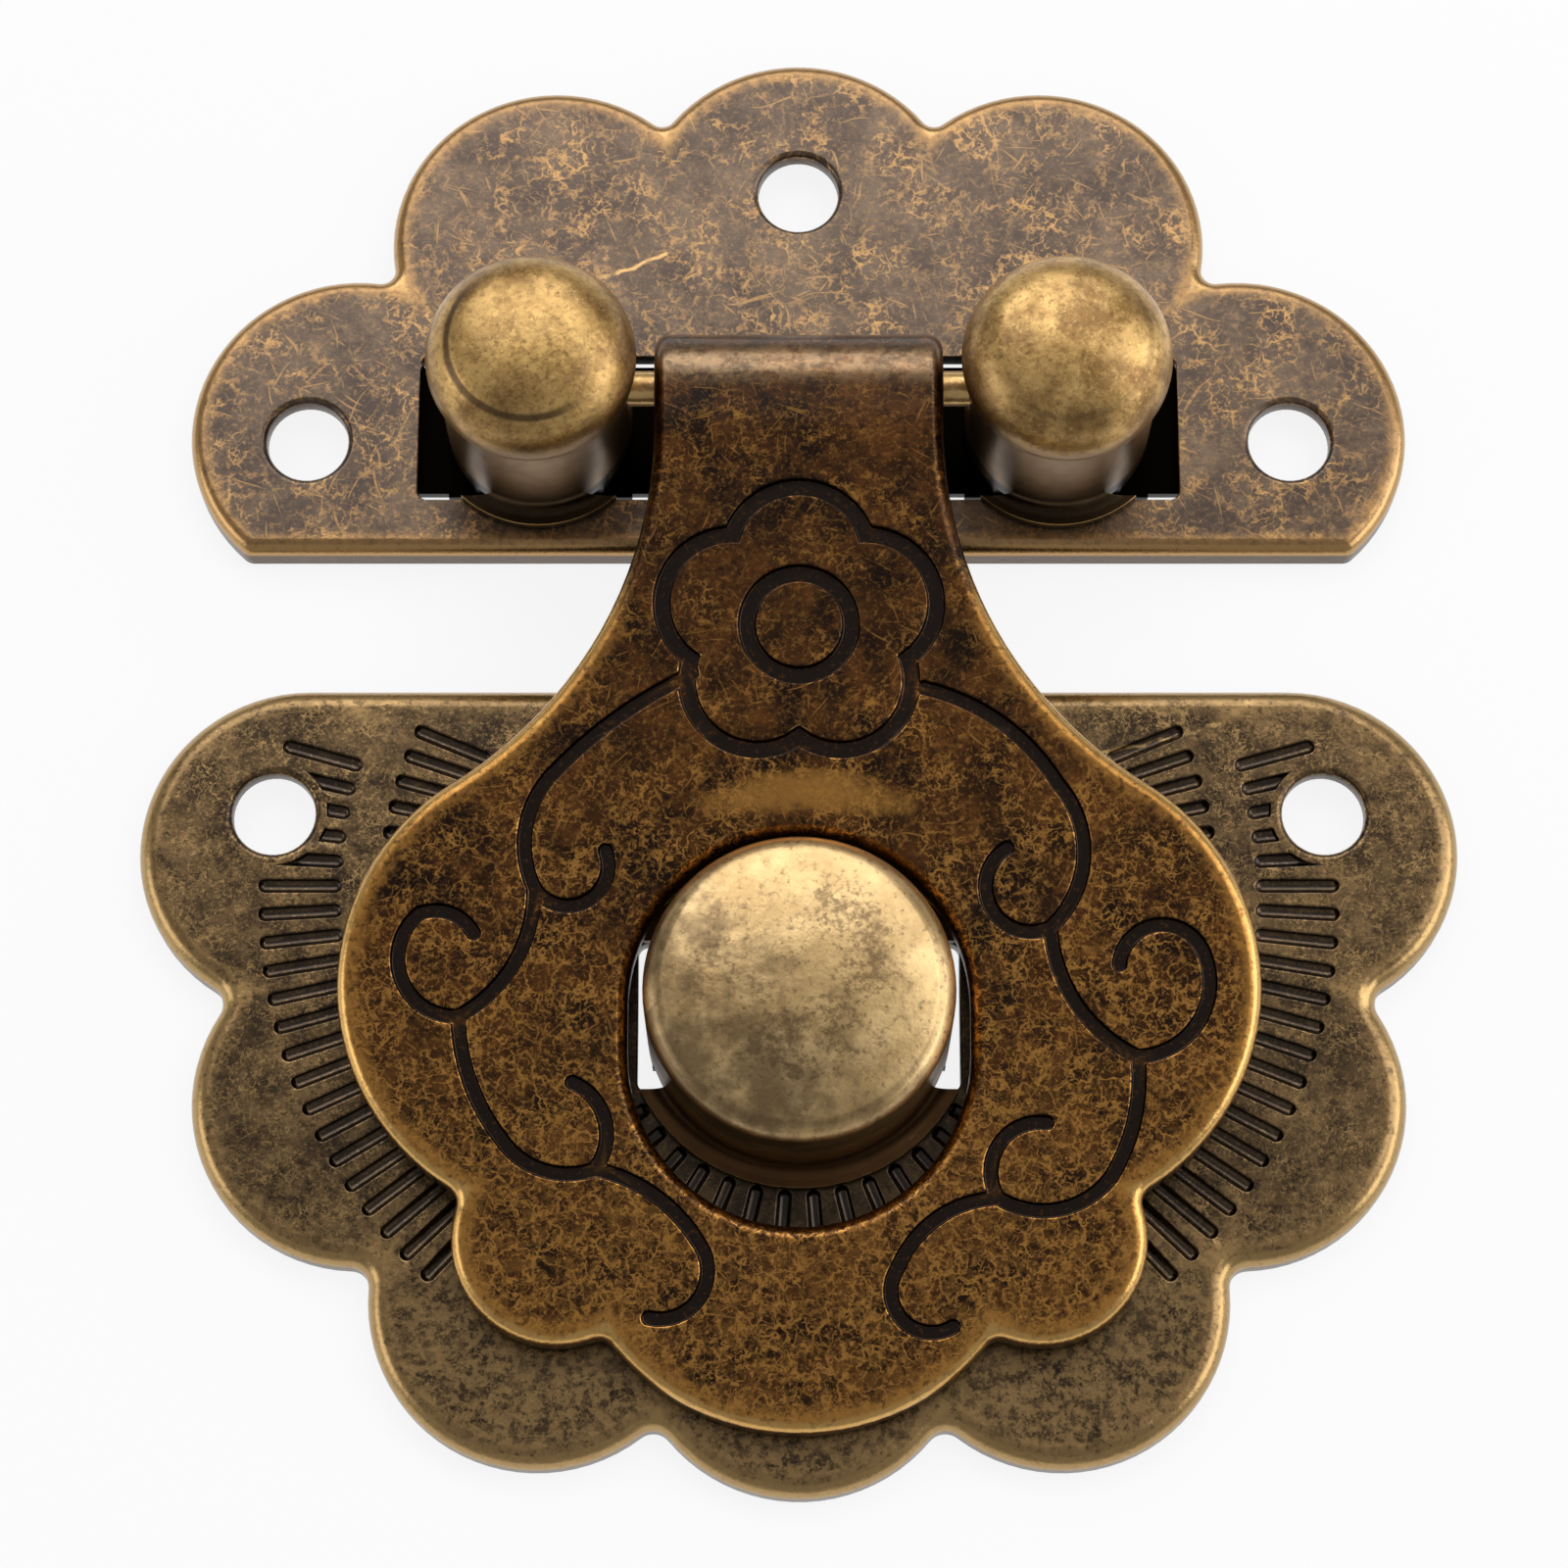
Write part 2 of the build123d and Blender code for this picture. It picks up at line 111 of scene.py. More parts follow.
class Slot(Enum):
    """The record's material slots."""

    LID = "lid_brass"
    FLAP = "flap_brass"
    STRIKE = "strike_brass"
    CAP = "cap_brass"
    PIN = "pin_brass"


class Graph:
    """A node tree that is wired from left to right."""

    def __init__(self, tree: NodeTree) -> None:
        """Takes the tree to fill.

        Args:
            tree: A material's tree or a group's.
        """
        self.tree = tree

    def node(self, kind: str, **settings: object) -> Node:
        """Adds a node.

        Args:
            kind: The node's type name, without its leading ShaderNode.
            settings: Properties to set on the node.

        Returns:
            The new node.
        """
        made = self.tree.nodes.new(f"ShaderNode{kind}")
        for name, value in settings.items():
            setattr(made, name, value)
        return made

    def feed(self, socket: NodeSocket, value: Feed) -> None:
        """Links a socket to another one, or sets its own value.

        Args:
            socket: The input to feed.
            value: An output to link, or a plain value.
        """
        if isinstance(value, NodeSocket):
            self.tree.links.new(value, socket)
        else:
            socket.default_value = value

    def math(self, operation: str, first: Feed, second: Feed = 0.0) -> NodeSocket:
        """Adds one sum.

        Args:
            operation: The Math node's operation.
            first: Its first number.
            second: Its second number.

        Returns:
            The result.
        """
        made = self.node("Math", operation=operation)
        self.feed(made.inputs[0], first)
        self.feed(made.inputs[1], second)
        return made.outputs[0]

    def plus(self, first: Feed, second: Feed) -> NodeSocket:
        """Adds two numbers."""
        return self.math("ADD", first, second)

    def minus(self, first: Feed, second: Feed) -> NodeSocket:
        """Takes the second number from the first."""
        return self.math("SUBTRACT", first, second)

    def rest(self, share: Feed) -> NodeSocket:
        """What a share leaves of the whole."""
        return self.math("SUBTRACT", 1.0, share)

    def times(self, first: Feed, second: Feed) -> NodeSocket:
        """Multiplies two numbers."""
        return self.math("MULTIPLY", first, second)

    def over(self, first: Feed, second: Feed) -> NodeSocket:
        """Divides the first number by the second."""
        return self.math("DIVIDE", first, second)

    def most(self, first: Feed, second: Feed) -> NodeSocket:
        """The larger of two numbers."""
        return self.math("MAXIMUM", first, second)

    def least(self, first: Feed, second: Feed) -> NodeSocket:
        """The smaller of two numbers."""
        return self.math("MINIMUM", first, second)

    def size(self, value: Feed) -> NodeSocket:
        """A number without its sign."""
        return self.math("ABSOLUTE", value)

    def squares(self, first: Feed, second: Feed) -> NodeSocket:
        """Adds the squares of two numbers."""
        return self.plus(self.times(first, first), self.times(second, second))

    def ramp(self, value: Feed, low: Feed, high: Feed, start: Feed = 0.0, end: Feed = 1.0) -> NodeSocket:
        """Eases a value from start to end as it goes from low to high.

        Args:
            value: What is read.
            low: Where the ramp starts.
            high: Where it ends.
            start: What it gives at low.
            end: What it gives at high.

        Returns:
            The eased value.
        """
        made = self.node("MapRange", interpolation_type="SMOOTHSTEP")
        for socket, part in zip(made.inputs, (value, low, high, start, end)):
            self.feed(socket, part)
        return made.outputs[0]

    def mix_colour(self, share: Feed, first: Feed, second: Feed, blend: str = "MIX") -> NodeSocket:
        """Mixes two colours.

        Args:
            share: How much of the second is taken.
            first: The first colour.
            second: The second colour.
            blend: The way of mixing.

        Returns:
            The mixed colour.
        """
        made = self.node("Mix", data_type="RGBA", blend_type=blend, clamp_factor=True)
        self.feed(made.inputs["Factor"], share)
        self.feed(made.inputs[6], first)
        self.feed(made.inputs[7], second)
        return made.outputs[2]

    def mix_value(self, share: Feed, first: Feed, second: Feed) -> NodeSocket:
        """Mixes two numbers.

        Args:
            share: How much of the second is taken.
            first: The first number.
            second: The second number.

        Returns:
            The mixed number.
        """
        made = self.node("Mix", data_type="FLOAT", clamp_factor=True)
        self.feed(made.inputs["Factor"], share)
        self.feed(made.inputs[2], first)
        self.feed(made.inputs[3], second)
        return made.outputs[0]

    def noise(self, place: Feed, scale: Feed, detail: float = 4.0, rough: float = 0.55) -> NodeSocket:
        """Adds cloudy noise.

        Args:
            place: Where it is read, in millimetres.
            scale: Clouds to the millimetre.
            detail: Octaves of detail.
            rough: How strong the fine octaves are.

        Returns:
            The noise's value.
        """
        made = self.node("TexNoise")
        self.feed(made.inputs["Vector"], place)
        self.feed(made.inputs["Scale"], scale)
        made.inputs["Detail"].default_value = detail
        made.inputs["Roughness"].default_value = rough
        return made.outputs["Fac"]

    def bent(
        self, place: Feed, scale: Feed, reach: Vector3, detail: float = 2.0, rough: float = 0.5
    ) -> NodeSocket:
        """Bends a place to and fro.

        Args:
            place: What is bent, in millimetres.
            scale: Bends to the millimetre.
            reach: How far it is moved along each axis.
            detail: Octaves of detail.
            rough: How strong the fine octaves are.

        Returns:
            The bent place.
        """
        sway = self.node("TexNoise")
        self.feed(sway.inputs["Vector"], place)
        self.feed(sway.inputs["Scale"], scale)
        sway.inputs["Detail"].default_value = detail
        sway.inputs["Roughness"].default_value = rough
        made = self.node("VectorMath", operation="MULTIPLY_ADD")
        self.feed(made.inputs[0], sway.outputs["Color"])
        made.inputs[1].default_value = reach
        self.feed(made.inputs[2], place)
        return made.outputs[0]

    def split(self, vector: Feed) -> tuple[NodeSocket, NodeSocket, NodeSocket]:
        """Takes a vector apart.

        Args:
            vector: The vector.

        Returns:
            Its three parts.
        """
        made = self.node("SeparateXYZ")
        self.feed(made.inputs[0], vector)
        return made.outputs[0], made.outputs[1], made.outputs[2]

    def joined(self, across: Feed, along: Feed) -> NodeSocket:
        """Makes a flat vector.

        Args:
            across: Its X.
            along: Its Y.

        Returns:
            The vector, with no height.
        """
        made = self.node("CombineXYZ")
        self.feed(made.inputs[0], across)
        self.feed(made.inputs[1], along)
        return made.outputs[0]

    def folded(self, place: Feed) -> NodeSocket:
        """Lays a place flat and folds it onto the right half.

        Args:
            place: The place.

        Returns:
            The folded place.
        """
        across, along, _ = self.split(place)
        return self.joined(self.size(across), along)

    def distance(self, first: Feed, second: Feed) -> NodeSocket:
        """Measures between two points.

        Args:
            first: One point.
            second: The other.

        Returns:
            How far apart they are.
        """
        made = self.node("VectorMath", operation="DISTANCE")
        self.feed(made.inputs[0], first)
        self.feed(made.inputs[1], second)
        return made.outputs["Value"]

    def effect(self, effect: "Effect", **values: Feed) -> dict[str, NodeSocket]:
        """Places a shared effect.

        Args:
            effect: The effect to place.
            values: What its inputs are fed.

        Returns:
            Its outputs by name.
        """
        made = self.node("Group", node_tree=effect.tree())
        for name, value in values.items():
            self.feed(made.inputs[name], value)
        return {socket.name: socket for socket in made.outputs}


class Effect(ABC):
    """A shader node group that several finishes share."""

    name: str
    inputs: dict[str, object]
    outputs: tuple[str, ...]

    def tree(self) -> NodeTree:
        """Builds the group once.

        Returns:
            The group's tree.
        """
        made = bpy.data.node_groups.get(self.name)
        if made:
            return made
        made = bpy.data.node_groups.new(self.name, "ShaderNodeTree")
        for name, value in self.inputs.items():
            kind = "NodeSocketVector" if isinstance(value, tuple) else "NodeSocketFloat"
            made.interface.new_socket(name, in_out="INPUT", socket_type=kind).default_value = value
        for name in self.outputs:
            made.interface.new_socket(name, in_out="OUTPUT", socket_type="NodeSocketFloat")
        graph = Graph(made)
        entry = made.nodes.new("NodeGroupInput")
        exit_node = made.nodes.new("NodeGroupOutput")
        wired = self.wire(graph, {socket.name: socket for socket in entry.outputs if socket.name})
        for name, socket in wired.items():
            made.links.new(socket, exit_node.inputs[name])
        return made

    @abstractmethod
    def wire(self, graph: Graph, given: dict[str, NodeSocket]) -> dict[str, NodeSocket]:
        """Wires the inside of the group.

        Args:
            graph: The group's graph.
            given: The group's inputs by name.

        Returns:
            What each output is linked to.
        """


class RimWear(Effect):
    """How far rubbing has bared the metal near an outline and on rounded edges.

    Attributes:
        edge_lean: Between which leans a face turns into a rounded edge.
        front_lean: Between which leans a surface starts to face forwards.
        side_lean: Between which leans it becomes a side.
        edge_hollow: Between which shares of hollow a rounded edge comes out of the dirt.
        rim_hollow: The same for the rim.
        full: The share of the rim's width that is worn in full.
        band_widths: How many times as wide the paler band behind the rim is.
        patch_scale: Breaks in the wear to the millimetre.
        worn: Between which values the broken edge turns bare.
        paled: Between which values the broken band turns pale.
    """

    name = "rim_wear"
    inputs = {
        "Place": ORIGIN, "Depth": INLAND, "Width": 0.7, "Tilt Share": 1.0, "Hollow": 0.0, "Break": 0.9,
    }
    outputs = ("Wear", "Band", "Side")
    edge_lean = (0.982, 0.84)
    front_lean = (-0.15, 0.3)
    side_lean = (0.3, 0.0)
    edge_hollow = (0.07, 0.0)
    rim_hollow = (0.3, 0.05)
    full = 0.2
    band_widths = 2.4
    patch_scale = 2.4
    worn = (0.36, 0.98)
    paled = (0.2, 0.95)

    def wire(self, graph: Graph, given: dict[str, NodeSocket]) -> dict[str, NodeSocket]:
        """Adds up nearness to the outline and the lean of the surface, then breaks the band up.

        Args:
            graph: The group's graph.
            given: The group's inputs by name.

        Returns:
            What each output is linked to.
        """
        lean = graph.split(graph.node("TexCoord").outputs["Normal"])[2]
        rounded = graph.times(graph.ramp(lean, *self.edge_lean), given["Tilt Share"])
        rounded = graph.times(rounded, graph.ramp(given["Hollow"], *self.edge_hollow))
        near = graph.ramp(given["Depth"], given["Width"], graph.times(given["Width"], self.full))
        near = graph.times(near, graph.ramp(given["Hollow"], *self.rim_hollow))
        patches = graph.noise(given["Place"], self.patch_scale, 3.0, 0.68)
        broken = graph.times(graph.minus(patches, 0.5), given["Break"])
        wear = graph.ramp(graph.plus(graph.most(rounded, near), broken), *self.worn)
        front = graph.ramp(lean, *self.front_lean)
        inner = graph.ramp(given["Depth"], graph.times(given["Width"], self.band_widths), 0.0)
        band = graph.ramp(graph.plus(inner, broken), *self.paled)
        return {
            "Wear": graph.times(wear, front),
            "Band": graph.times(band, front),
            "Side": graph.ramp(lean, *self.side_lean),
        }


class RubbedWeb(Effect):
    """The broken net of bright veins that rubbing leaves in a dark patina.

    Attributes:
        sizes: For each size of cell, how much finer it is, how strong, and where its gaps end.
        crook: How far the cells are bent.
        crook_scale: Bends to a cell.
        patch_scale: Rubbed patches to a cell.
        patch: Between which values a patch turns rubbed.
        gap_scale: Gaps to a cell.
        gap_fade: Over how much of its noise a gap fades.
        closing: How far rubbing closes the gaps.
        unrubbed: How strong the net is outside the rubbed patches.
    """

    name = "rubbed_web"
    inputs = {"Place": ORIGIN, "Scale": 1.0, "Width": 0.1, "Cover": 0.5}
    outputs = ("Web",)
    sizes = ((1.0, 1.0, 0.46), (2.1, 0.8, 0.5))
    crook = 0.95
    crook_scale = 1.6
    patch_scale = 0.4
    patch = (0.78, 1.12)
    gap_scale = 1.9
    gap_fade = 0.16
    closing = 0.12
    unrubbed = 0.2

    def wire(self, graph: Graph, given: dict[str, NodeSocket]) -> dict[str, NodeSocket]:
        """Draws the walls of crooked cells of two sizes, broken up, and denser in rubbed patches.

        Args:
            graph: The group's graph.
            given: The group's inputs by name.

        Returns:
            What each output is linked to.
        """
        place, scale = given["Place"], given["Scale"]
        crooked = graph.bent(place, graph.times(scale, self.crook_scale), (self.crook,) * 3, rough=0.62)
        patch = graph.noise(place, graph.times(scale, self.patch_scale), 3.0, 0.62)
        rubbed = graph.ramp(graph.plus(patch, given["Cover"]), *self.patch)
        web: Feed = 0.0
        for size, strength, low in self.sizes:
            cells = graph.node("TexVoronoi", feature="DISTANCE_TO_EDGE")
            graph.feed(cells.inputs["Vector"], crooked)
            graph.feed(cells.inputs["Scale"], graph.times(scale, size))
            vein = graph.ramp(cells.outputs["Distance"], given["Width"], 0.0)
            gaps = graph.noise(place, graph.times(scale, self.gap_scale * size), 2.0, 0.6)
            gaps = graph.plus(gaps, graph.times(rubbed, self.closing))
            gaps = graph.ramp(gaps, low, low + self.gap_fade)
            web = graph.most(web, graph.times(graph.times(vein, gaps), strength))
        rubbed = graph.plus(graph.times(rubbed, 1.0 - self.unrubbed), self.unrubbed)
        return {"Web": graph.times(web, rubbed)}


class Speckle(Effect):
    """Fine grain of dark pits and bright points.

    Attributes:
        pit: Between which values a low of the grain turns into a pit.
        point: Between which values a high turns into a point.
        finer: How much finer the points are.
    """

    name = "speckle"
    inputs = {"Place": ORIGIN, "Scale": 4.0}
    outputs = ("Pits", "Points")
    pit = (0.47, 0.33)
    point = (0.55, 0.7)
    finer = 1.7

    def wire(self, graph: Graph, given: dict[str, NodeSocket]) -> dict[str, NodeSocket]:
        """Takes the lows and the highs of two fine clouds.

        Args:
            graph: The group's graph.
            given: The group's inputs by name.

        Returns:
            What each output is linked to.
        """
        grain = graph.noise(given["Place"], given["Scale"], 2.0, 0.7)
        other = graph.noise(given["Place"], graph.times(given["Scale"], self.finer), 2.0, 0.65)
        return {"Pits": graph.ramp(grain, *self.pit), "Points": graph.ramp(other, *self.point)}


class Hairlines(Effect):
    """Fine curved hairlines, in several directions, where rubbing has cut through the patina.

    Attributes:
        turns_deg: The directions.
        sway: How far the lines are bent.
        sway_scale: Bends to the millimetre.
        stretch: How far the noise is drawn out along a line and pressed together across it.
        peak: Between which values the noise turns into a line.
    """

    name = "hairlines"
    inputs = {"Place": ORIGIN, "Scale": 1.0, "Amount": 0.5}
    outputs = ("Line",)
    turns_deg = (11.0, 59.0, 108.0, 152.0)
    sway = (1.6, 1.6, 0.0)
    sway_scale = 0.32
    stretch = (1.9, 0.17, 1.0)
    peak = (0.69, 0.78)

    def wire(self, graph: Graph, given: dict[str, NodeSocket]) -> dict[str, NodeSocket]:
        """Bends the surface, stretches noise along each direction and keeps its peaks.

        Args:
            graph: The group's graph.
            given: The group's inputs by name.

        Returns:
            What each output is linked to.
        """
        bent = graph.bent(given["Place"], self.sway_scale, self.sway, detail=1.0)
        total: Feed = 0.0
        for turn in self.turns_deg:
            drawn = graph.node("Mapping", vector_type="TEXTURE")
            graph.feed(drawn.inputs["Vector"], bent)
            drawn.inputs["Location"].default_value = (turn, -turn, 0.0)
            drawn.inputs["Rotation"].default_value = (0.0, 0.0, math.radians(turn))
            drawn.inputs["Scale"].default_value = self.stretch
            streak = graph.noise(drawn.outputs[0], given["Scale"], 1.0)
            total = graph.most(total, graph.ramp(streak, *self.peak))
        return {"Line": graph.times(total, given["Amount"])}


class ScoreLine(Effect):
    """One long scratch between two points.

    Attributes:
        waver: How far it wavers.
        waver_scale: Bends to the millimetre.
        full: The share of its width that is cut in full.
        gap_scale: Gaps to the millimetre.
        gap: Between which values of their noise a gap ends.
    """

    name = "score_line"
    inputs = {"Place": ORIGIN, "Start": ORIGIN, "Run": (1.0, 0.0, 0.0), "Width": 0.08}
    outputs = ("Line",)
    waver = (0.5, 0.5, 0.0)
    waver_scale = 1.1
    full = 0.3
    gap_scale = 1.9
    gap = (0.36, 0.56)

    def wire(self, graph: Graph, given: dict[str, NodeSocket]) -> dict[str, NodeSocket]:
        """Measures from the nearest point of the run, and lets the line waver and fade.

        Args:
            graph: The group's graph.
            given: The group's inputs by name.

        Returns:
            What each output is linked to.
        """
        across, along, _ = graph.split(graph.bent(given["Place"], self.waver_scale, self.waver))
        start_x, start_y, _ = graph.split(given["Start"])
        run_x, run_y, _ = graph.split(given["Run"])
        off_x = graph.minus(across, start_x)
        off_y = graph.minus(along, start_y)
        dot = graph.plus(graph.times(off_x, run_x), graph.times(off_y, run_y))
        share = graph.node("Clamp")
        graph.feed(share.inputs[0], graph.over(dot, graph.squares(run_x, run_y)))
        near_x = graph.times(run_x, share.outputs[0])
        near_y = graph.times(run_y, share.outputs[0])
        gap = graph.distance(graph.joined(off_x, off_y), graph.joined(near_x, near_y))
        line = graph.ramp(gap, given["Width"], graph.times(given["Width"], self.full))
        broken = graph.ramp(graph.noise(given["Place"], self.gap_scale), *self.gap)
        return {"Line": graph.times(line, broken)}


@dataclass(frozen=True)
class LobedOutline:
    """A scalloped outline, to tell how far in from its edge a point lies. Sizes are in millimetres.

    Attributes:
        lobes: Centre and radius of each lobe on the right half, which the left half mirrors.
        middle_y: Centre of the plain middle between the lobes.
        middle: Half sizes of that middle.
        lower_edge: Height of a straight lower edge.
        upper_edge: Height of a straight upper edge.
        middle_depth: How deep the middle of the plain middle counts.
    """

    lobes: tuple[Vector3, ...]
    middle_y: float
    middle: Span
    lower_edge: float = -FAR
    upper_edge: float = FAR
    middle_depth: float = 4.0

    def depth(self, graph: Graph, place: NodeSocket) -> NodeSocket:
        """Wires the distance in from the outline.

        Args:
            graph: The material's graph.
            place: The piece's own coordinates in millimetres.

        Returns:
            The distance, roughly, and well under zero outside.
        """
        along = graph.split(place)[1]
        low = graph.minus(along, self.lower_edge)
        high = graph.minus(self.upper_edge, along)
        return graph.least(self.lobed(graph, graph.folded(place)), graph.least(low, high))

    def lobed(self, graph: Graph, flat: NodeSocket) -> NodeSocket:
        """Wires the distance in from the lobes alone.

        Args:
            graph: The material's graph.
            flat: The place, folded to the right half.

        Returns:
            The distance.
        """
        across, along, _ = graph.split(flat)
        wide = graph.over(across, self.middle[0])
        tall = graph.over(graph.minus(along, self.middle_y), self.middle[1])
        inside = graph.times(graph.rest(graph.squares(wide, tall)), self.middle_depth)
        for x, y, radius in self.lobes:
            from_lobe = graph.minus(radius, graph.distance(flat, (x, y, 0.0)))
            inside = graph.most(inside, from_lobe)
        return inside


@dataclass(frozen=True)
class NeckedOutline(LobedOutline):
    """A lobed outline with a neck that flares out into it.

    Attributes:
        flare: Centre and radius of the hollow curve on the neck's right side.
        neck_foot: Height where the lobes take over from the flare.
    """

    flare: Vector3 = (20.25, 10.34, 15.05)
    neck_foot: float = -3.5

    def lobed(self, graph: Graph, flat: NodeSocket) -> NodeSocket:
        """Wires the distance in from the lobes and the neck.

        Args:
            graph: The material's graph.
            flat: The place, folded to the right half.

        Returns:
            The distance.
        """
        across, along, _ = graph.split(flat)
        x, y, radius = self.flare
        beside = graph.joined(across, graph.least(along, y))
        neck = graph.minus(graph.distance(beside, (x, y, 0.0)), radius)
        neck = graph.least(neck, graph.minus(along, self.neck_foot))
        return graph.most(super().lobed(graph, flat), neck)


@dataclass
class Layers:
    """What a finish has laid on so far.

    Attributes:
        colour: The colour.
        bare: The share of bare, polished metal.
        wear: The share of worn edge.
        hollow: The share of hollow that has kept its dirt.
        height: The fine relief.
        lacquer: The weight of the lacquer.
        face: The share of front face, which hands and cloths reach.
    """

    colour: NodeSocket
    bare: NodeSocket
    wear: NodeSocket
    hollow: NodeSocket
    height: NodeSocket
    lacquer: NodeSocket
    face: NodeSocket


@dataclass(frozen=True)
class AntiqueBrass:
    """A brass surface darkened, rubbed back and lacquered.

    Attributes:
        name: The material's name.
        ground: The patina's darker colour.
        haze: The patina's lighter colour.
        web: The colour of the rubbed lines.
        rim: The colour of the bared edges.
        dirt: The colour that hollows keep.
        offset: Where the pattern is read from, in millimetres, so that no two finishes share a patch.
        outline: The outline that wear follows, if there is one.
        drift_scale: Large drifts of lighter patina to the millimetre.
        drift: Between which values of their noise the drifts are seen.
        drift_share: How much lighter they are.
        web_scale: Cells of the rubbed net to the millimetre.
        web_width: How wide its veins are, as a share of a cell.
        veins: How strong they are.
        web_cover: How much of the surface is rubbed.
        grain_scale: Grains to the millimetre.
        pits: How strong the dark grains are.
        pit_wear: How much of them wear takes off.
        points: How strong the bright grains are.
        rim_width: How far in from the outline the wear reaches, in millimetres.
        band: How strong the paler band behind the worn rim is.
        rough: Roughness of the patina.
        rough_bare: Roughness of bare metal.
        scratch: How strong the hairlines are.
        hair_scale: How fine they are; 1 is about a tenth of a millimetre.
        line_bare: How bare the veins and hairlines are.
        relief: Strength of the fine relief.
        relief_depth: How deep it is.
        relief_scale: How fine it is beside the grain.
        lacquer: Weight of the clear lacquer.
        lacquer_hollow: Its weight in the hollows, where it has pooled.
        lacquer_side: Its weight on the turned-down sides.
        lacquer_rough: Its roughness.
        hollow_range: Between which shares of walled-in space a hollow turns dark.
        dirt_fleck: How strong the light flecks in the dirt are.
        side_dark: How much darker the turned-down sides are.
        clouding: Between which values of its noise the patina goes from dark to light.
        cloud_share: How much lighter the clouds are.
        cloud_scale: How fine they are beside the net.
    """

    name: str
    ground: Colour
    haze: Colour
    web: Colour
    rim: Colour
    dirt: Colour
    offset: Vector3
    outline: Optional[LobedOutline] = None
    drift_scale: float = 0.3
    drift: Span = (0.4, 0.62)
    drift_share: float = 0.42
    web_scale: float = 1.0
    web_width: float = 0.08
    veins: float = 1.0
    web_cover: float = 0.5
    grain_scale: float = 4.0
    pits: float = 0.5
    pit_wear: float = 0.6
    points: float = 0.4
    rim_width: float = 0.7
    band: float = 0.8
    rough: float = 0.34
    rough_bare: float = 0.27
    scratch: float = 0.8
    hair_scale: float = 1.0
    line_bare: float = 0.8
    relief: float = 0.25
    relief_depth: float = 0.05 * MM
    relief_scale: float = 0.9
    lacquer: float = 0.6
    lacquer_hollow: float = 0.6
    lacquer_side: float = 0.1
    lacquer_rough: float = 0.22
    hollow_range: Span = (0.06, 0.42)
    dirt_fleck: float = 0.5
    side_dark: float = 0.8
    clouding: Span = (0.38, 0.64)
    cloud_share: float = 0.58
    cloud_scale: float = 0.5

    def material(self) -> Material:
        """Builds the finish.

        Returns:
            The new material.
        """
        made = bpy.data.materials.new(self.name)
        made.use_nodes = True
        graph = Graph(made.node_tree)
        shader = made.node_tree.nodes["Principled BSDF"]
        place = self.place(graph, ORIGIN)
        layers = self.patina(graph, place, self.place(graph, self.offset))
        self.mark(graph, place, layers)
        graph.feed(shader.inputs["Base Color"], layers.colour)
        shader.inputs["Metallic"].default_value = 1.0
        graph.feed(shader.inputs["Coat Weight"], layers.lacquer)
        shader.inputs["Coat Roughness"].default_value = self.lacquer_rough
        matt = graph.mix_value(layers.bare, self.rough, self.rough_bare)
        graph.feed(shader.inputs["Roughness"], graph.mix_value(layers.hollow, matt, self.rough_bare))
        bump = graph.node("Bump")
        bump.inputs["Strength"].default_value = self.relief
        bump.inputs["Distance"].default_value = self.relief_depth
        graph.feed(bump.inputs["Height"], layers.height)
        graph.feed(shader.inputs["Normal"], bump.outputs[0])
        return made

    def place(self, graph: Graph, offset: Vector3) -> NodeSocket:
        """Reads the piece's own coordinates in millimetres.

        Args:
            graph: The material's graph.
            offset: What is added to them.

        Returns:
            The place.
        """
        source = graph.node("TexCoord")
        scaled = graph.node("Mapping")
        graph.feed(scaled.inputs["Vector"], source.outputs["Object"])
        scaled.inputs["Scale"].default_value = (1 / MM, 1 / MM, 1 / MM)
        scaled.inputs["Location"].default_value = offset
        return scaled.outputs[0]

    def depth(self, graph: Graph, place: NodeSocket) -> Feed:
        """How far in from the worn outline a point lies, in millimetres."""
        return self.outline.depth(graph, place) if self.outline else INLAND

    def rounded_share(self, graph: Graph, place: NodeSocket) -> Feed:
        """How far leaning surfaces count as worn edges: all of them."""
        return 1.0

    def cover(self, graph: Graph, place: NodeSocket) -> Feed:
        """How much of the surface is rubbed: the same all over."""
        return self.web_cover

    def patina(self, graph: Graph, place: NodeSocket, pattern: NodeSocket) -> Layers:
        """Lays patina, grain, veins, scratches, bared edges and dirt over each other.

        Args:
            graph: The material's graph.
            place: The piece's own coordinates in millimetres.
            pattern: Where the patterns are read.

        Returns:
            The layers.
        """
        caught = graph.node("Attribute", attribute_name=HOLLOW)
        hollow = graph.ramp(caught.outputs["Fac"], *self.hollow_range)
        rim = graph.effect(
            RimWear(),
            **{
                "Place": pattern,
                "Depth": self.depth(graph, place),
                "Width": self.rim_width,
                "Tilt Share": self.rounded_share(graph, place),
                "Hollow": caught.outputs["Fac"],
            },
        )
        wear = rim["Wear"]
        cover = self.cover(graph, place)
        web = graph.effect(
            RubbedWeb(), Place=pattern, Scale=self.web_scale, Width=self.web_width, Cover=cover
        )
        grain = graph.effect(Speckle(), Place=pattern, Scale=self.grain_scale)
        scratch = graph.effect(Hairlines(), Place=pattern, Scale=self.hair_scale, Amount=self.scratch)
        open_share = graph.rest(hollow)
        veins = graph.times(web["Web"], self.veins)
        lines = graph.times(graph.most(veins, scratch["Line"]), open_share)
        clouds = graph.noise(pattern, self.web_scale * self.cloud_scale, rough=0.7)
        clouds = graph.ramp(clouds, *self.clouding, 0.0, self.cloud_share)
        drifts = graph.noise(pattern, self.drift_scale, 3.0, 0.62)
        drifts = graph.ramp(drifts, *self.drift, 0.0, self.drift_share)
        colour = graph.mix_colour(graph.plus(clouds, drifts), self.ground, self.haze)
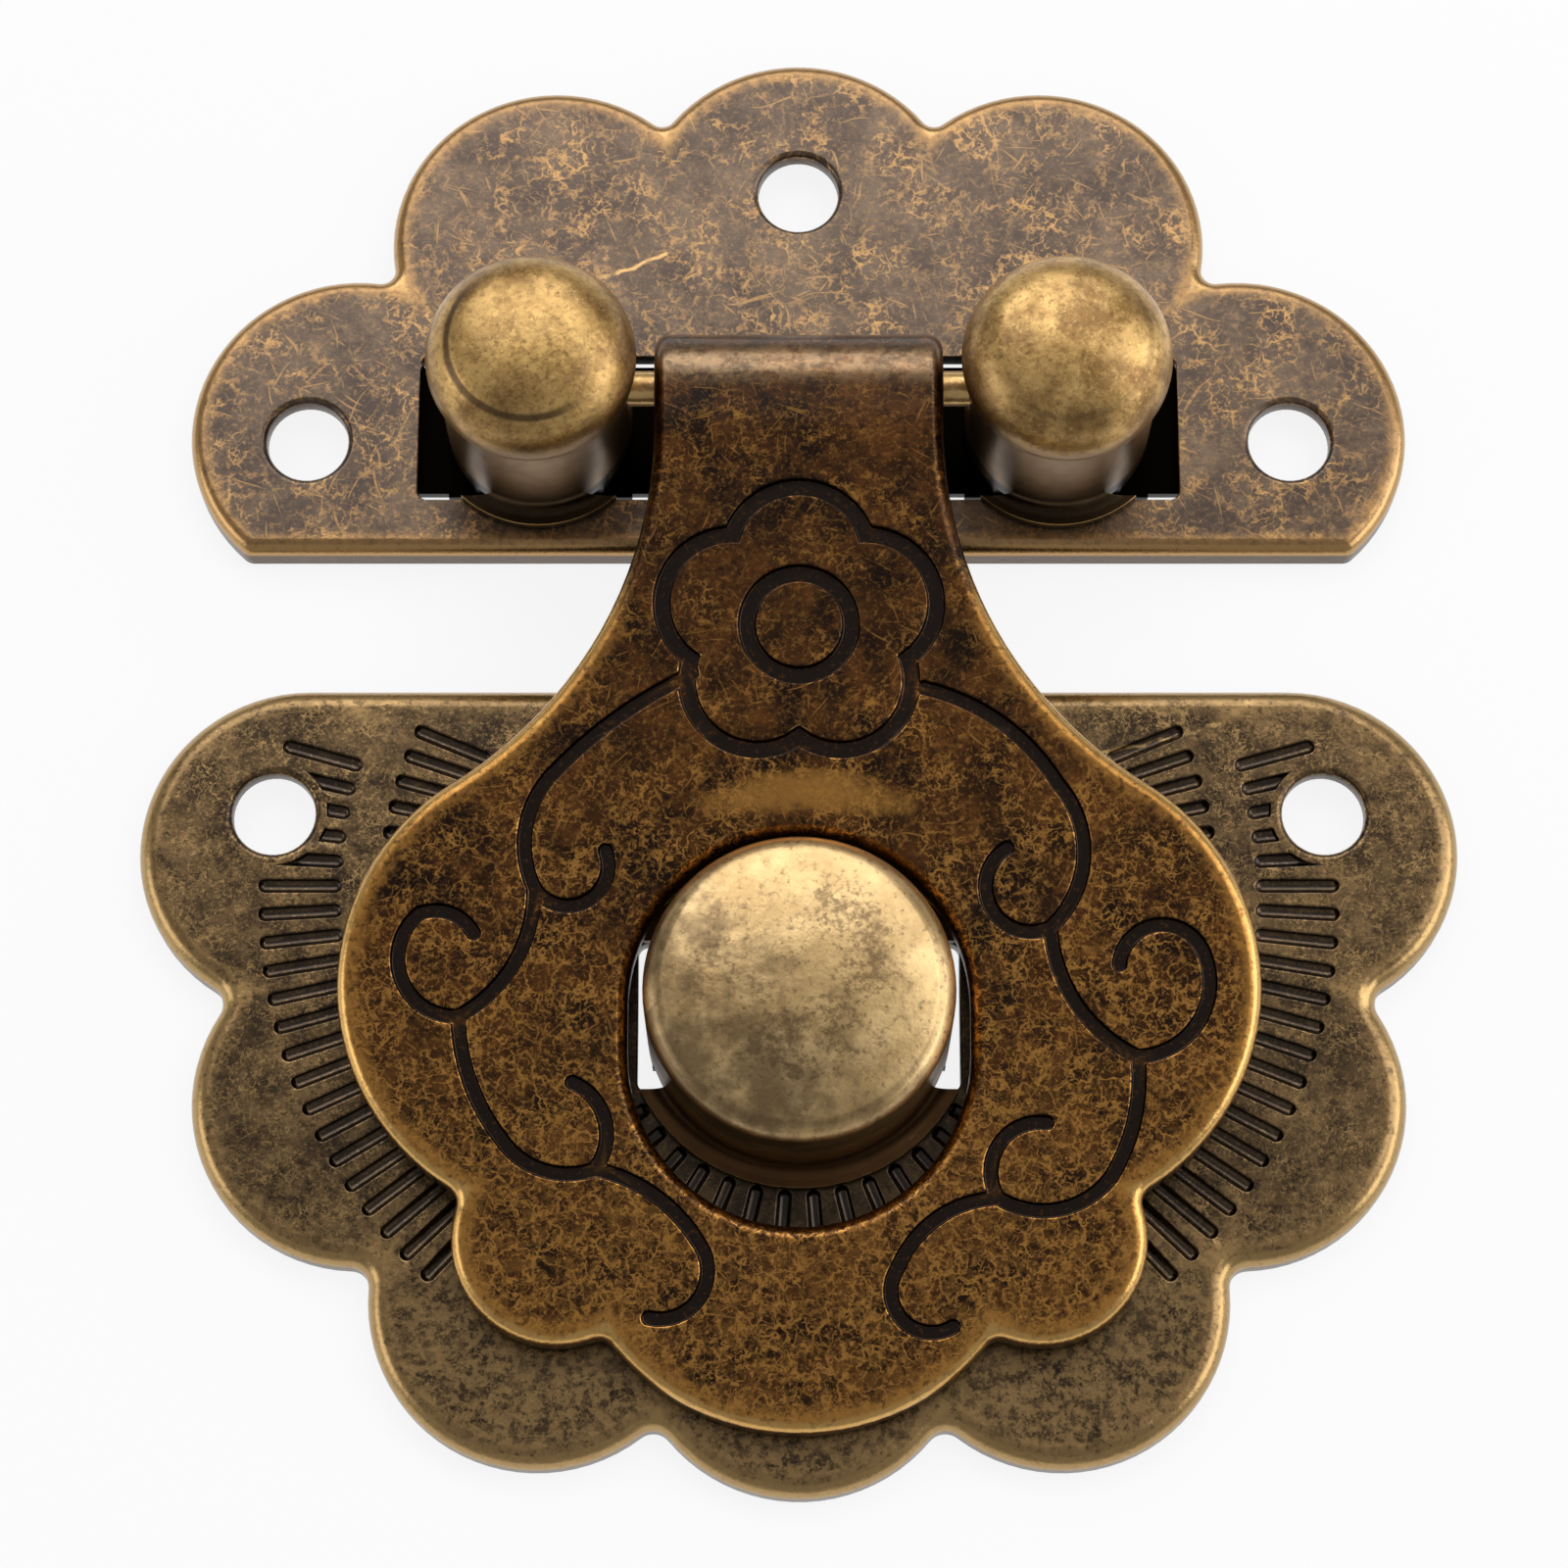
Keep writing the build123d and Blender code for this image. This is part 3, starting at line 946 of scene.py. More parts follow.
        points = graph.times(grain["Points"], self.points)
        band = graph.times(rim["Band"], graph.times(open_share, self.band))
        for share in (points, band, lines):
            colour = graph.mix_colour(share, colour, self.web)
        colour = graph.mix_colour(wear, colour, self.rim)
        kept = graph.rest(graph.times(wear, self.pit_wear))
        pits = graph.times(graph.times(grain["Pits"], self.pits), kept)
        colour = graph.mix_colour(pits, colour, self.ground)
        colour = graph.mix_colour(graph.times(rim["Side"], self.side_dark), colour, self.ground)
        flecks = graph.ramp(grain["Points"], 0.2, 0.9, 0.0, self.dirt_fleck)
        colour = graph.mix_colour(hollow, colour, graph.mix_colour(flecks, self.dirt, self.haze))
        bare = graph.most(wear, graph.times(lines, self.line_bare))
        height = graph.noise(pattern, self.grain_scale * self.relief_scale, 2.0, 0.7)
        lacquer = graph.mix_value(hollow, self.lacquer, self.lacquer_hollow)
        lacquer = graph.mix_value(rim["Side"], lacquer, self.lacquer_side)
        face = graph.times(graph.rest(rim["Side"]), open_share)
        return Layers(colour, bare, wear, hollow, height, lacquer, face)

    def mark(self, graph: Graph, place: NodeSocket, layers: Layers) -> None:
        """Adds what is particular to one piece: nothing here."""


@dataclass(frozen=True)
class ScoredBrass(AntiqueBrass):
    """A plate's antique brass, with screw holes and one long scratch.

    Attributes:
        score_start: Where the scratch starts, in millimetres.
        score_run: How far it runs.
        score_width: How wide it is.
        holes: Middle of each screw hole, folded to the right half.
        hole_reach: How far from there its edge ends.
        hole_fade: Over how far the wear comes back there.
        hole_wear: How much of the wear its edge keeps.
    """

    score_start: Vector3 = ORIGIN
    score_run: Vector3 = (1.0, 0.0, 0.0)
    score_width: float = 0.1
    holes: tuple[Vector3, ...] = ()
    hole_reach: float = 2.1
    hole_fade: float = 0.2
    hole_wear: float = 0.3

    def rounded_share(self, graph: Graph, place: NodeSocket) -> Feed:
        """Leaves most of the wear off the edges of the screw holes.

        Args:
            graph: The material's graph.
            place: The piece's own coordinates in millimetres.

        Returns:
            The share of a leaning surface that counts as worn.
        """
        flat = graph.folded(place)
        edge = self.hole_reach - self.hole_fade
        share: Feed = 1.0
        for hole in self.holes:
            beyond = graph.ramp(graph.distance(flat, hole), edge, self.hole_reach, self.hole_wear)
            share = graph.times(share, beyond)
        return share

    def mark(self, graph: Graph, place: NodeSocket, layers: Layers) -> None:
        """Draws the scratch in bared metal.

        Args:
            graph: The material's graph.
            place: The piece's own coordinates in millimetres.
            layers: What is marked.
        """
        line = graph.effect(
            ScoreLine(), Place=place, Start=self.score_start, Run=self.score_run, Width=self.score_width
        )["Line"]
        layers.colour = graph.mix_colour(line, layers.colour, self.rim)
        layers.bare = graph.most(layers.bare, line)


@dataclass(frozen=True)
class StrikeBrass(ScoredBrass):
    """The strike plate's antique brass, with dirt and painted shade round the foot of its button.

    Attributes:
        button: The button's axis, in millimetres.
        grime_and_shade_reach: Between which distances the dirt and painted shade fade out.
        grime_and_shade: How strong they are.
        grime_and_shade_colour: Their dark colour.
        foot_y: Between which heights the plate gets paler towards its foot.
        foot_pale: How much paler it gets.
        mottle: Between which values of its noise the paler foot is seen.
        mottle_scale: Its mottles to the millimetre.
    """

    button: Vector3 = (0.0, -10.04, 0.0)
    grime_and_shade_reach: Span = (7.2, 9.2)
    grime_and_shade: float = 0.72
    grime_and_shade_colour: Colour = shade(28, 18, 10)
    foot_y: Span = (-13.0, -23.0)
    foot_pale: float = 0.6
    mottle: Span = (0.44, 0.58)
    mottle_scale: float = 2.2

    def mark(self, graph: Graph, place: NodeSocket, layers: Layers) -> None:
        """Draws the scratch, rubs the foot paler, then lays the dirt and painted shade round the button.

        Args:
            graph: The material's graph.
            place: The piece's own coordinates in millimetres.
            layers: What is marked.
        """
        super().mark(graph, place, layers)
        across, along, _ = graph.split(place)
        mottle = graph.ramp(graph.noise(place, self.mottle_scale, 3.0, 0.72), *self.mottle)
        pale = graph.times(graph.ramp(along, *self.foot_y, 0.0, self.foot_pale), mottle)
        pale = graph.times(pale, layers.face)
        layers.colour = graph.mix_colour(pale, layers.colour, self.web)
        # Dirt and painted shade: the plate darkens round the button, where the flap's hole shades its foot.
        out = graph.distance(graph.joined(across, along), self.button)
        grime_and_shade = graph.ramp(out, self.grime_and_shade_reach[1], self.grime_and_shade_reach[0], 0.0, self.grime_and_shade)
        layers.colour = graph.mix_colour(grime_and_shade, layers.colour, self.grime_and_shade_colour)


@dataclass(frozen=True)
class FlapBrass(AntiqueBrass):
    """The flap's antique brass, rubbed by the thumb above the hole and more towards its foot, with painted
    shade on its neck and a painted highlight along its eye.

    Attributes:
        eye_y: Between which heights the rolled eye starts, in millimetres.
        eye_wear: How much of the worn edge the eye keeps.
        eye_lacquer: Weight of the lacquer on the eye.
        painted_highlight_y: Height of the painted highlight along the eye, where the back lamp's reflection
            runs.
        painted_highlight_reach: How far from there the painted highlight ends, and how far it is full.
        painted_highlight: How strong it is.
        painted_highlight_colour: Its pale colour.
        thumb: Centre of the rubbed crescent.
        thumb_size: Its half sizes.
        thumb_sag: How far its ends hang down.
        thumb_break: How broken its edge is.
        thumb_edge: Where it fades out, as a share of its size.
        thumb_rub: How bare it is.
        hole: Middle of the hole.
        hole_reach: How far from there its edge counts.
        hole_fade: Over how far the wear comes back there.
        hole_wear: How much of the wear its edge keeps.
        rim_fade: Between which heights the worn rim fades out up the neck.
        rim_drop: How far in the rim is taken to lie up there.
        cover_y: Between which heights the rubbing grows.
        foot_cover: How much more is rubbed at the foot.
        neck_y: Between which heights painted shade darkens the neck towards the eye.
        neck_shade: How much darker the painted shade makes the neck.
        neck_shade_tint: What the painted shade multiplies it by.
        foot_y: Between which heights the foot gets paler.
        foot_pale: How much paler the foot is.
        mottle: Between which values of its noise the paler foot is seen.
        mottle_scale: Its mottles to the millimetre.
    """

    eye_y: Span = (10.0, 11.5)
    eye_wear: float = 0.12
    eye_lacquer: float = 0.6
    painted_highlight_y: float = 12.85
    painted_highlight_reach: Span = (1.1, 0.2)
    painted_highlight: float = 0.5
    painted_highlight_colour: Colour = shade(186, 152, 112)
    thumb: Span = (0.3, -2.8)
    thumb_size: Span = (3.7, 0.75)
    thumb_sag: float = 0.7
    thumb_break: float = 2.0
    thumb_edge: float = 1.5
    thumb_rub: float = 0.7
    hole: Vector3 = (0.0, -10.6, 0.0)
    hole_reach: float = 8.2
    hole_fade: float = 0.5
    hole_wear: float = 0.35
    rim_fade: Span = (2.5, 7.5)
    rim_drop: float = 1.4
    cover_y: Span = (6.0, -20.0)
    foot_cover: float = 0.3
    neck_y: Span = (-2.0, 5.0)
    neck_shade: float = 0.42
    neck_shade_tint: Colour = (0.3, 0.28, 0.25, 1.0)
    foot_y: Span = (-9.0, -18.0)
    foot_pale: float = 0.2
    mottle: Span = (0.44, 0.58)
    mottle_scale: float = 2.0

    def depth(self, graph: Graph, place: NodeSocket) -> Feed:
        """Lets the worn rim fade out up the neck."""
        fade = graph.ramp(graph.split(place)[1], *self.rim_fade, 0.0, self.rim_drop)
        return graph.plus(super().depth(graph, place), fade)

    def rounded_share(self, graph: Graph, place: NodeSocket) -> Feed:
        """Leaves most of the wear off the rolled eye and the edge of the hole.

        Args:
            graph: The material's graph.
            place: The piece's own coordinates in millimetres.

        Returns:
            The share of a leaning surface that counts as worn.
        """
        across, along, _ = graph.split(place)
        eye = graph.ramp(along, self.rim_fade[1], self.rim_fade[0], self.eye_wear)
        from_hole = graph.distance(graph.joined(across, along), self.hole)
        hole = graph.ramp(from_hole, self.hole_reach - self.hole_fade, self.hole_reach, self.hole_wear)
        return graph.times(eye, hole)

    def cover(self, graph: Graph, place: NodeSocket) -> Feed:
        """Rubs the foot more than the neck."""
        most = self.web_cover + self.foot_cover
        return graph.ramp(graph.split(place)[1], *self.cover_y, self.web_cover, most)

    def mark(self, graph: Graph, place: NodeSocket, layers: Layers) -> None:
        """Paints shade on the neck, rubs the foot, paints a highlight along the eye, rubs the crescent, and
        lacquers the eye.

        Args:
            graph: The material's graph.
            place: The piece's own coordinates in millimetres.
            layers: What is marked.
        """
        across, along, _ = graph.split(place)
        # Painted shade: the neck darkens towards the eye, less where it is worn.
        dark = graph.times(graph.ramp(along, *self.neck_y, 0.0, self.neck_shade), graph.rest(layers.wear))
        layers.colour = graph.mix_colour(dark, layers.colour, self.neck_shade_tint, "MULTIPLY")
        mottling = graph.noise(place, self.mottle_scale, 3.0, 0.72)
        pale = graph.ramp(along, *self.foot_y, 0.0, self.foot_pale)
        pale = graph.times(graph.times(pale, graph.ramp(mottling, *self.mottle)), layers.face)
        layers.colour = graph.mix_colour(pale, layers.colour, self.web)
        # Painted highlight: a pale, mottled band along the eye, where the back lamp's reflection runs.
        from_highlight = graph.size(graph.minus(along, self.painted_highlight_y))
        painted_highlight = graph.ramp(from_highlight, *self.painted_highlight_reach, 0.0, self.painted_highlight)
        painted_highlight = graph.times(painted_highlight, graph.ramp(mottling, 0.36, 0.6, 0.35))
        layers.colour = graph.mix_colour(painted_highlight, layers.colour, self.painted_highlight_colour)
        layers.lacquer = graph.mix_value(graph.ramp(along, *self.eye_y), layers.lacquer, self.eye_lacquer)
        rubbed = graph.times(self.crescent(graph, place, mottling), graph.times(layers.face, self.thumb_rub))
        layers.colour = graph.mix_colour(rubbed, layers.colour, self.web)
        layers.bare = graph.most(layers.bare, rubbed)

    def crescent(self, graph: Graph, place: NodeSocket, mottling: NodeSocket) -> NodeSocket:
        """Wires the crescent that the thumb has rubbed.

        Args:
            graph: The material's graph.
            place: The piece's own coordinates in millimetres.
            mottling: The noise that breaks its edge.

        Returns:
            1 in its middle, and 0 outside.
        """
        across, along, _ = graph.split(place)
        wide = graph.over(graph.minus(across, self.thumb[0]), self.thumb_size[0])
        sag = graph.times(graph.times(wide, wide), self.thumb_sag)
        tall = graph.plus(graph.over(graph.minus(along, self.thumb[1]), self.thumb_size[1]), sag)
        broken = graph.times(graph.minus(mottling, 0.5), self.thumb_break)
        return graph.ramp(graph.plus(graph.squares(wide, tall), broken), self.thumb_edge, 0.0)


@dataclass(frozen=True)
class CapBrass(AntiqueBrass):
    """A drawn cap's antique brass: a crown rubbed bright, a dark smooth wall, and a painted shade that
    darkens its foot and turns its tabs black.

    Attributes:
        axis: The cap's axis, in millimetres, folded to the right half.
        wall: The wall's colour.
        wall_scale: Its darker clouds to the millimetre.
        wall_cloud: How dark they are.
        tab: The colour of the painted shade on the tabs and the foot, which lie in deep shade.
        tab_z: Heights between which the foot turns into the tabs.
        crown_z: Heights between which the wall turns into the crown.
        crown_relief: How much of the fine relief the crown keeps.
        foot_shade_z: Heights between which painted shade darkens the wall at the foot.
        foot_shade: How dark the painted shade on the foot is above the plate.
        foot_edge_z: Heights between which the foot's edge starts.
        foot_edge: How much of it counts as worn.
        worn_z: Heights between which the worn edge of the foot is seen.
        worn_end_z: Heights between which it ends below.
        crease_radius: Where a crease runs round the crown.
        crease: How strong it is.
        crease_reach: How far from its line it ends, and how far it is full.
        crease_depth: How deep it is.
        crease_side: The side that it shows on.
        crease_run: Between which distances to that side it comes out.
        stain: How strong the crown's stains are.
        stain_colour: Their colour.
        stain_sizes: For each size of stain, how many to the millimetre, where it starts, and its share.
        stain_fade: Over how much of their noise the stains fade.
        stain_at: The middle that they gather round, in millimetres.
        stain_ring: How far from that middle they are thickest.
        stain_reach: How far they spread from there.
        stain_full: The share of that reach where they are thickest.
        stain_gain: How much thicker they are there.
        stain_patch_scale: The patches that they gather in, to the millimetre.
        tarnish: How strong the broad tarnish, with its painted shade, under them is.
        tarnish_scale: Its patches to the millimetre.
        tarnish_shade_lean: How it grows along X and Y, to the millimetre: a painted shade, darker towards
            the lower left.
        tarnish_gain: How much thicker it is where the stains gather.
        tarnish_range: Between which values of its noise it is seen.
    """

    axis: Span = (0.0, 0.0)
    wall: Colour = BLACK
    wall_scale: float = 1.4
    wall_cloud: float = 0.2
    tab: Colour = BLACK
    tab_z: Span = (1.5, 1.35)
    crown_z: Span = (6.2, 7.4)
    crown_relief: float = 0.9
    foot_shade_z: Span = (1.9, 3.4)
    foot_shade: float = 0.8
    foot_edge_z: Span = (2.0, 1.87)
    foot_edge: float = 0.9
    worn_z: Span = (2.1, 1.9)
    worn_end_z: Span = (1.3, 1.5)
    crease_radius: float = 2.9
    crease: float = 0.0
    crease_reach: Span = (0.17, 0.05)
    crease_depth: float = 2.0
    crease_side: Span = (0.75, -0.66)
    crease_run: Span = (-0.6, 1.4)
    stain: float = 0.5
    stain_colour: Colour = BLACK
    stain_sizes: tuple[Vector3, ...] = ((2.3, 0.52, 0.6), (4.6, 0.56, 0.8))
    stain_fade: float = 0.2
    stain_at: Vector3 = (9.2, 12.2, 0.0)
    stain_ring: float = 0.0
    stain_reach: float = 5.0
    stain_full: float = 0.2
    stain_gain: float = 0.1
    stain_patch_scale: float = 0.32
    tarnish: float = 0.4
    tarnish_scale: float = 0.7
    tarnish_shade_lean: Span = (-0.035, -0.03)
    tarnish_gain: float = 0.6
    tarnish_range: Span = (0.44, 0.78)

    def rounded_share(self, graph: Graph, place: NodeSocket) -> Feed:
        """Counts only the foot's edge as a worn one."""
        return graph.ramp(graph.split(place)[2], *self.foot_edge_z, 0.0, self.foot_edge)

    def mark(self, graph: Graph, place: NodeSocket, layers: Layers) -> None:
        """Stains the crown, with a painted shade towards its lower left, creases it, then lays the wall, and
        the painted shade of the foot and the tabs, round it.

        Args:
            graph: The material's graph.
            place: The piece's own coordinates in millimetres.
            layers: What is marked.
        """
        self.stain_crown(graph, place, layers)
        self.crease_crown(graph, place, layers)
        up = graph.split(place)[2]
        crown = graph.ramp(up, *self.crown_z)
        # Painted shade: the wall darkens towards its foot and the tabs go near black, and lose their
        # lacquer, where little light reaches.
        foot = graph.ramp(up, self.foot_shade_z[1], self.foot_shade_z[0], 0.0, self.foot_shade)
        foot = graph.most(foot, graph.ramp(up, *self.tab_z))
        worn = graph.times(layers.wear, graph.ramp(up, *self.worn_z))
        worn = graph.times(worn, graph.ramp(up, *self.worn_end_z))
        clouds = graph.ramp(graph.noise(place, self.wall_scale, 2.0), 0.35, 0.7, 0.0, self.wall_cloud)
        wall = graph.mix_colour(clouds, self.wall, self.tab)
        wall = graph.mix_colour(foot, wall, self.tab)
        wall = graph.mix_colour(worn, wall, self.rim)
        layers.colour = graph.mix_colour(crown, wall, layers.colour)
        layers.lacquer = graph.mix_value(foot, layers.lacquer, 0.0)
        layers.bare = graph.most(layers.bare, graph.rest(crown))
        layers.height = graph.times(layers.height, graph.times(crown, self.crown_relief))

    def stain_crown(self, graph: Graph, place: NodeSocket, layers: Layers) -> None:
        """Lays the broad tarnish, which a painted shade darkens towards the lower left, and the stains on
        it.

        Args:
            graph: The material's graph.
            place: The piece's own coordinates in millimetres.
            layers: What is stained.
        """
        across, along, _ = graph.split(place)
        from_ring = graph.minus(graph.distance(graph.folded(place), self.stain_at), self.stain_ring)
        full = self.stain_full * self.stain_reach
        gathered = graph.ramp(graph.size(from_ring), self.stain_reach, full, 0.0, self.stain_gain)
        patches = graph.ramp(graph.noise(place, self.stain_patch_scale, 1.0), 0.36, 0.56, 0.2, 1.2)
        gathered = graph.times(gathered, patches)
        # Painted shade: the tarnish grows towards the lower left, the side turned from the lamps.
        lean_x = graph.times(graph.minus(across, self.stain_at[0]), self.tarnish_shade_lean[0])
        lean_y = graph.times(graph.minus(along, self.stain_at[1]), self.tarnish_shade_lean[1])
        broad = graph.noise(place, self.tarnish_scale, rough=0.66)
        broad = graph.plus(broad, graph.plus(lean_x, lean_y))
        broad = graph.plus(broad, graph.times(gathered, self.tarnish_gain))
        broad = graph.ramp(broad, *self.tarnish_range, 0.0, self.tarnish)
        layers.colour = graph.mix_colour(broad, layers.colour, self.stain_colour)
        for scale, low, share in self.stain_sizes:
            clouds = graph.plus(graph.noise(place, scale, 3.0, 0.74), gathered)
            stain = graph.times(graph.ramp(clouds, low, low + self.stain_fade), self.stain * share)
            layers.colour = graph.mix_colour(stain, layers.colour, self.stain_colour)

    def crease_crown(self, graph: Graph, place: NodeSocket, layers: Layers) -> None:
        """Presses the crease into one side of the crown.

        Args:
            graph: The material's graph.
            place: The piece's own coordinates in millimetres.
            layers: What is creased.
        """
        flat = graph.folded(place)
        off_line = graph.minus(graph.distance(flat, (*self.axis, 0.0)), self.crease_radius)
        crease = graph.times(graph.ramp(graph.size(off_line), *self.crease_reach), self.crease)
        across, along, _ = graph.split(flat)
        off_x = graph.times(graph.minus(across, self.axis[0]), self.crease_side[0])
        off_y = graph.times(graph.minus(along, self.axis[1]), self.crease_side[1])
        crease = graph.times(crease, graph.ramp(graph.plus(off_x, off_y), *self.crease_run))
        layers.colour = graph.mix_colour(crease, layers.colour, self.dirt)
        layers.height = graph.minus(layers.height, graph.times(crease, self.crease_depth))


LID_FINISH = ScoredBrass(
    name="lid_antique_brass",
    ground=shade(60, 45, 35),
    haze=shade(102, 82, 63),
    web=shade(174, 132, 78),
    rim=shade(186, 146, 90),
    dirt=shade(36, 27, 19),
    offset=(3.0, 11.0, 5.0),
    outline=LobedOutline(
        lobes=((0.0, 20.95, 6.1), (9.1, 19.8, 6.1), (16.4, 12.15, 6.1)),
        middle_y=10.0,
        middle=(16.4, 9.5),
        lower_edge=7.45,
    ),
    web_scale=1.15,
    web_width=0.1,
    web_cover=0.42,
    pits=0.35,
    points=0.2,
    rim_width=0.55,
    scratch=0.55,
    lacquer=0.7,
    score_start=(-7.0, 18.5, 0.0),
    score_run=(2.4, 1.0, 0.0),
    score_width=0.11,
    holes=((18.15, 11.8, 0.0), (0.0, 21.7, 0.0)),
)
FLAP_FINISH = FlapBrass(
    name="flap_antique_brass",
    ground=shade(33, 17, 6),
    haze=shade(102, 62, 25),
    web=shade(194, 138, 66),
    rim=shade(212, 168, 98),
    dirt=shade(34, 22, 13),
    offset=(41.0, 7.0, 17.0),
    outline=NeckedOutline(
        lobes=((7.9, -9.48, 8.3), (8.4, -18.3, 3.7), (0.0, -16.55, 8.45)),
        middle_y=-6.0,
        middle=(8.0, 6.0),
    ),
    web_scale=1.3,
    web_width=0.1,
    web_cover=0.36,
    grain_scale=3.4,
    pits=0.6,
    points=0.3,
    rim_width=0.6,
    scratch=0.5,
    hair_scale=1.15,
    lacquer=0.25,
    lacquer_hollow=0.35,
    hollow_range=(0.14, 0.5),
    clouding=(0.42, 0.6),
)
STRIKE_FINISH = StrikeBrass(
    name="strike_antique_brass",
    ground=shade(46, 33, 19),
    haze=shade(112, 88, 57),
    web=shade(166, 133, 85),
    rim=shade(176, 144, 92),
    dirt=shade(46, 34, 23),
    offset=(-23.0, 31.0, 9.0),
    outline=LobedOutline(
        lobes=(
            (17.8, -3.75, 6.0),
            (15.6, -12.95, 6.0),
            (9.15, -20.05, 6.0),
            (0.0, -21.05, 6.0),
        ),
        middle_y=-2.0,
        middle=(17.6, 16.0),
        upper_edge=2.25,
    ),
    web_scale=1.9,
    web_width=0.1,
    web_cover=0.44,
    grain_scale=4.2,
    pits=0.6,
    points=0.42,
    rim_width=0.65,
    scratch=0.4,
    hair_scale=1.3,
    lacquer=0.4,
    hollow_range=(0.1, 0.46),
    clouding=(0.42, 0.6),
    score_start=(10.9, -0.1, 0.0),
    score_run=(4.6, 1.2, 0.0),
    score_width=0.09,
    holes=((18.95, -2.5, 0.0),),
)
LEFT_POST_FINISH = CapBrass(
    name="left_post_antique_brass",
    ground=shade(134, 100, 54),
    haze=shade(230, 188, 116),
    web=shade(240, 202, 134),
    rim=shade(204, 168, 104),
    dirt=shade(74, 52, 30),
    offset=(13.0, -19.0, 27.0),
    web_scale=1.3,
    web_width=0.06,
    veins=0.15,
    pits=0.5,
    points=0.35,
    rough=0.4,
    rough_bare=0.34,
    scratch=0.06,
    hair_scale=0.8,
    lacquer=0.35,
    axis=(9.55, 12.5),
    wall=shade(156, 126, 92),
    # Painted shade: the posts' tabs and foot are near black.
    tab=shade(4, 3, 2),
    foot_shade_z=(1.95, 2.4),
    foot_shade=0.9,
    crease=0.85,
    stain=0.6,
    stain_colour=shade(104, 75, 38),
    stain_reach=4.2,
    stain_gain=0.07,
    tarnish=0.2,
)
RIGHT_POST_FINISH = replace(
    LEFT_POST_FINISH,
    name="right_post_antique_brass",
    haze=shade(226, 185, 116),
    web=shade(238, 200, 134),
    offset=(-61.0, 23.0, 8.0),
    crease=0.35,
    tarnish=0.25,
)
BUTTON_FINISH = CapBrass(
    name="button_antique_brass",
    ground=shade(186, 154, 104),
    haze=shade(226, 193, 138),
    web=shade(236, 205, 150),
    rim=shade(204, 172, 112),
    dirt=shade(60, 46, 30),
    offset=(-37.0, 5.0, -11.0),
    drift_scale=0.22,
    web_scale=0.9,
    web_width=0.05,
    veins=0.0,
    pits=0.2,
    points=0.2,
    rough=0.36,
    rough_bare=0.45,
    scratch=0.05,
    lacquer=0.35,
    axis=(0.0, -10.04),
    wall=shade(168, 122, 76),
    # Painted shade: the button's foot and flange, shaded by the flap round its hole, are dark brown.
    tab=shade(34, 23, 14),
    crown_z=(3.4, 5.0),
    foot_shade_z=(1.9, 2.8),
    crease_radius=4.95,
    crease=0.25,
    stain=0.7,
    stain_colour=shade(98, 76, 50),
    stain_at=(0.0, -9.8, 0.0),
    stain_ring=2.5,
    stain_reach=2.0,
    stain_gain=0.12,
    tarnish=0.75,
)
PIN_FINISH = AntiqueBrass(
    name="pin_drawn_brass",
    ground=shade(150, 114, 66),
    haze=shade(196, 156, 96),
    web=shade(214, 176, 112),
    rim=shade(214, 176, 112),
    dirt=shade(80, 60, 36),
    offset=(7.0, 7.0, 7.0),
)


def deselect_all() -> None:
    """Leaves object mode with nothing selected."""
    if bpy.context.object and bpy.context.object.mode != "OBJECT":
        bpy.ops.object.mode_set(mode="OBJECT")
    bpy.ops.object.select_all(action="DESELECT")


def take_up(piece: Object) -> None:
    """Selects one object alone.

    Args:
        piece: The object that the next operators act on.
    """
    deselect_all()
    piece.select_set(True)
    bpy.context.view_layer.objects.active = piece


